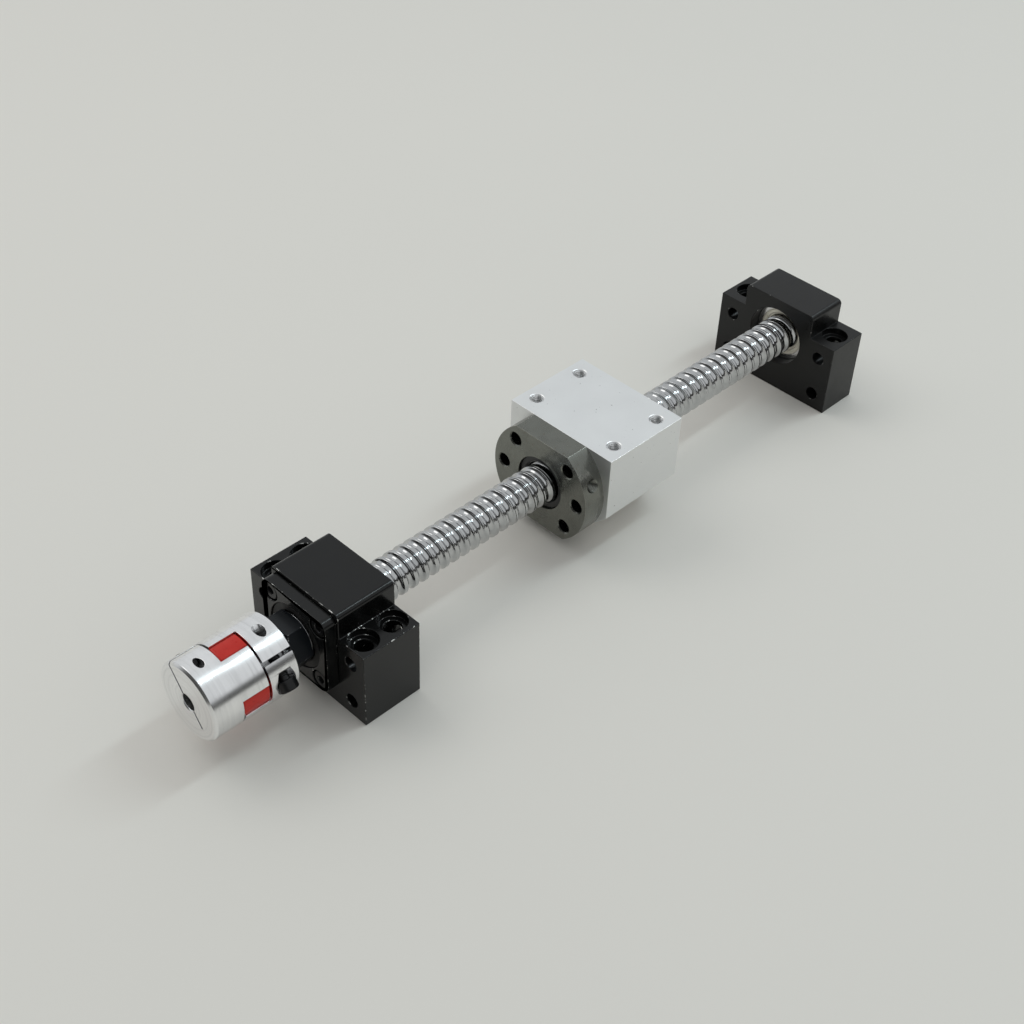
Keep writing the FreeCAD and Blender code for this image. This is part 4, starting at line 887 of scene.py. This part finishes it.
spider = rod(7.25, -50.2, -39.3, seg=96)
for n in range(4):
    spider = carve(spider, [sector(6.0, 14.5, 92.5 + 90 * n, 29, -50.2, -39.3, 16)], "UNION")
spider = carve(spider, [rod(5.2, -52, -37, seg=72)])
seat_piece(spider, "spider_body", "screw", "coupling_spider", [M["spider"]], 0.8, 4, 35)


def hub_screw(x, angle, off, seat, sign, length, head_r=3.5, head_h=4.0, shank_r=1.95, flats=3.0, pitch=0.7):
    d = direction(angle)
    s = Vector((1, 0, 0)).cross(d) * sign
    at = Vector((x, 0, AX)) + d * off + s * seat
    return cap_screw(at, -s, head_r, head_h, shank_r, length, flats, pitch)


seat_piece(hub_screw(-56.25, 54.4, 11.8, 1.8, -1, 8.0, 2.75, 3.0, 1.45, 2.5, 0.5), "motor_clamp_screw", "screw", "coupling_motor_clamp_screw", [M["screws_black"]], 0.08, 2, 40)
seat_piece(hub_screw(-33, 139.5, 10.9, 8.5, 1, 18.6), "screw_clamp_screw", "screw", "coupling_screw_clamp_screw", [M["screws_black"]], 0.08, 2, 40)

# ---- seals, collars, bearing parts -------------------------------------------------------------------------------------------

seat_piece(
    spin("seal", [(-17.0, 9.9), (-17.0, 12.5), (-16.8, 12.77), (-12.5, 12.77), (-12.5, 11.6), (-15.7, 11.6), (-15.7, 10.6), (-14.8, 9.32), (-15.4, 9.26)], 128),
    "front_seal", "supports", "fixed_front_seal", [M["rubber"]], 0.12, 2,
)
seat_piece(
    spin("seal", [(12.0, 9.9), (12.0, 11.97), (8.0, 11.97), (8.0, 11.0), (10.7, 11.0), (10.7, 10.2), (9.9, 9.32), (10.5, 9.26)], 128),
    "rear_seal", "supports", "fixed_rear_seal", [M["rubber"]], 0.12, 2,
)
seat_piece(
    spin("collar", [(-17.5, 6.02), (-10, 6.02), (-10, 8.1), (-10.8, 9), (-17.2, 9), (-17.5, 8.7)], 128),
    "front_collar", "screw", "fixed_front_collar", [M["collar"]], 0.1, 2,
)
seat_piece(
    spin("collar", [(6, 6.02), (11.5, 6.02), (11.5, 8.7), (11.2, 9), (6.8, 9), (6, 8.1)], 128),
    "rear_collar", "screw", "fixed_rear_collar", [M["collar"]], 0.1, 2,
)
seat_piece(
    join(
        [
            spin("shield", [(x0, 7.75), (x0, 8.6), (x0 + f * 0.16, 8.9), (x0 + f * 0.16, 10.1), (x0, 10.35), (x0, 10.75), (x0 + f * 0.4, 10.75), (x0 + f * 0.4, 7.75)], 128)
            for x0, f in ((251.75, 1), (259.25, -1))
        ]
    ),
    "bearing_shields", "supports", "floating_shields", [M["shield"]], 0.05, 2, 20,
)

# ---- carried-over nodes --------------------------------------------------------------------------------------------------------

FINISH = {
    "bearing_steel": "bearing",
    "cage_steel": "cage",
    "shield_steel": "shield",
    "spring_steel": "spring",
    "collar_steel": "collar",
    "seal_rubber": "rubber",
    "pad_brass": "brass",
    "screw_steel": "journal",
    "nut_steel": "nut",
    "wiper_plastic": "wiper",
    "cap_plastic": "cap",
    "block_aluminium": "block",
    "coupling_aluminium": "coupling",
    "spider_red": "spider",
    "black_housing": "housing_satin",
    "black_screws": "screws_black",
    "black_nut": "nut_black",
}
slots_of = {}
for m in frame["record"].get("materials", []):
    for n in m.get("nodes", []) or m.get("applies_to", []) or []:
        slots_of[n] = m.get("slot")
for n, o in frame["nodes"].items():
    for i, ms in enumerate(o.material_slots):
        known = (ms.material.name if ms.material else "").split(".")[0]
        key = slots_of.get(n) or known
        look = M.get(FINISH.get(key, ""), None)
        if n.endswith("_balls"):
            look = M["ball"]
        if look is None:
            print("no look for", n, key)
            look = M["bearing"]
        ms.link = "OBJECT"
        ms.material = look
    if not o.hide_render and not o.material_slots:
        print("no slot on", n)

# ---- floor and light -----------------------------------------------------------------------------------------------------------

floor_mesh = bpy.data.meshes.new("floor")
floor_mesh.from_pydata([(-20, -20, 0), (20, -20, 0), (20, 20, 0), (-20, 20, 0)], [], [(0, 1, 2, 3)])
floor = bpy.data.objects.new("floor", floor_mesh)
scene.collection.objects.link(floor)
k = Look("floor", (0.80, 0.775, 0.72), 0.0, 0.6)
k.color(k.mix(k.noise(scale=3, detail=3), (0.785, 0.762, 0.710), (0.815, 0.788, 0.732)))
floor_mesh.materials.append(k.m)

# a pale room, with a darker wall low down on the -Y side
world = bpy.data.worlds.new("world")
scene.world = world
world.use_nodes = True
wt = world.node_tree
bg = next(n for n in wt.nodes if n.type == "BACKGROUND")
where = wt.nodes.new("ShaderNodeTexCoord")
parts = wt.nodes.new("ShaderNodeSeparateXYZ")
wt.links.new(where.outputs["Generated"], parts.inputs[0])
masks = []
for socket, lo, hi in ((parts.outputs[1], -0.05, -0.32), (parts.outputs[2], 0.38, 0.18)):
    step = wt.nodes.new("ShaderNodeMapRange")
    step.interpolation_type = "SMOOTHSTEP"
    step.inputs[1].default_value, step.inputs[2].default_value = lo, hi
    wt.links.new(socket, step.inputs[0])
    masks.append(step.outputs[0])
for socket, lo, hi in ((parts.outputs[0], 0.84, 0.95), (parts.outputs[0], -0.50, -0.78)):
    step = wt.nodes.new("ShaderNodeMapRange")
    step.interpolation_type = "SMOOTHSTEP"
    step.inputs[1].default_value, step.inputs[2].default_value = lo, hi
    wt.links.new(socket, step.inputs[0])
    masks.append(step.outputs[0])


def join_masks(a, b, operation):
    n = wt.nodes.new("ShaderNodeMath")
    n.operation = operation
    wt.links.new(a, n.inputs[0])
    wt.links.new(b, n.inputs[1])
    return n


both = join_masks(join_masks(masks[0], masks[1], "MULTIPLY").outputs[0], join_masks(masks[2], masks[3], "MAXIMUM").outputs[0], "MAXIMUM")
tone = wt.nodes.new("ShaderNodeMix")
tone.data_type = "RGBA"
wt.links.new(both.outputs[0], tone.inputs[0])
tone.inputs[6].default_value = (0.685, 0.705, 0.715, 1.0)
tone.inputs[7].default_value = (0.07, 0.07, 0.068, 1.0)
wt.links.new(tone.outputs[2], bg.inputs["Color"])
bg.inputs["Strength"].default_value = 0.95


def panel(name, way, far, target, size, power, color=(1, 1, 1)):
    """A soft light seen from the target in a direction, its long side along X."""
    data = bpy.data.lights.new(name, "AREA")
    data.shape = "RECTANGLE"
    data.size, data.size_y = size
    data.energy = power
    data.color = color
    o = bpy.data.objects.new(name, data)
    scene.collection.objects.link(o)
    back = Vector(way).normalized()
    along = (Vector((1, 0, 0)) - back * back.x).normalized()
    up = back.cross(along)
    o.matrix_world = Matrix.Translation(Vector(target) + back * far) @ Matrix((along, up, back)).transposed().to_4x4()
    return o


mid = (0.1, 0, 0.03)
panel("strip", (0.55, -0.2, 0.81), 1.5, mid, (0.9, 0.14), 3.6, (0.80, 0.95, 1.0))
panel("key", (-0.2, 0.6, 0.75), 1.3, mid, (0.9, 0.6), 2.2, (1.0, 0.985, 0.95))
panel("lamp", (0.55, -0.79, 0.27), 1.2, mid, (0.12, 0.06), 0.09)

scene.view_settings.view_transform = "Standard"
scene.view_settings.look = "None"
scene.view_settings.exposure = 0.0
scene.view_settings.gamma = 1.0
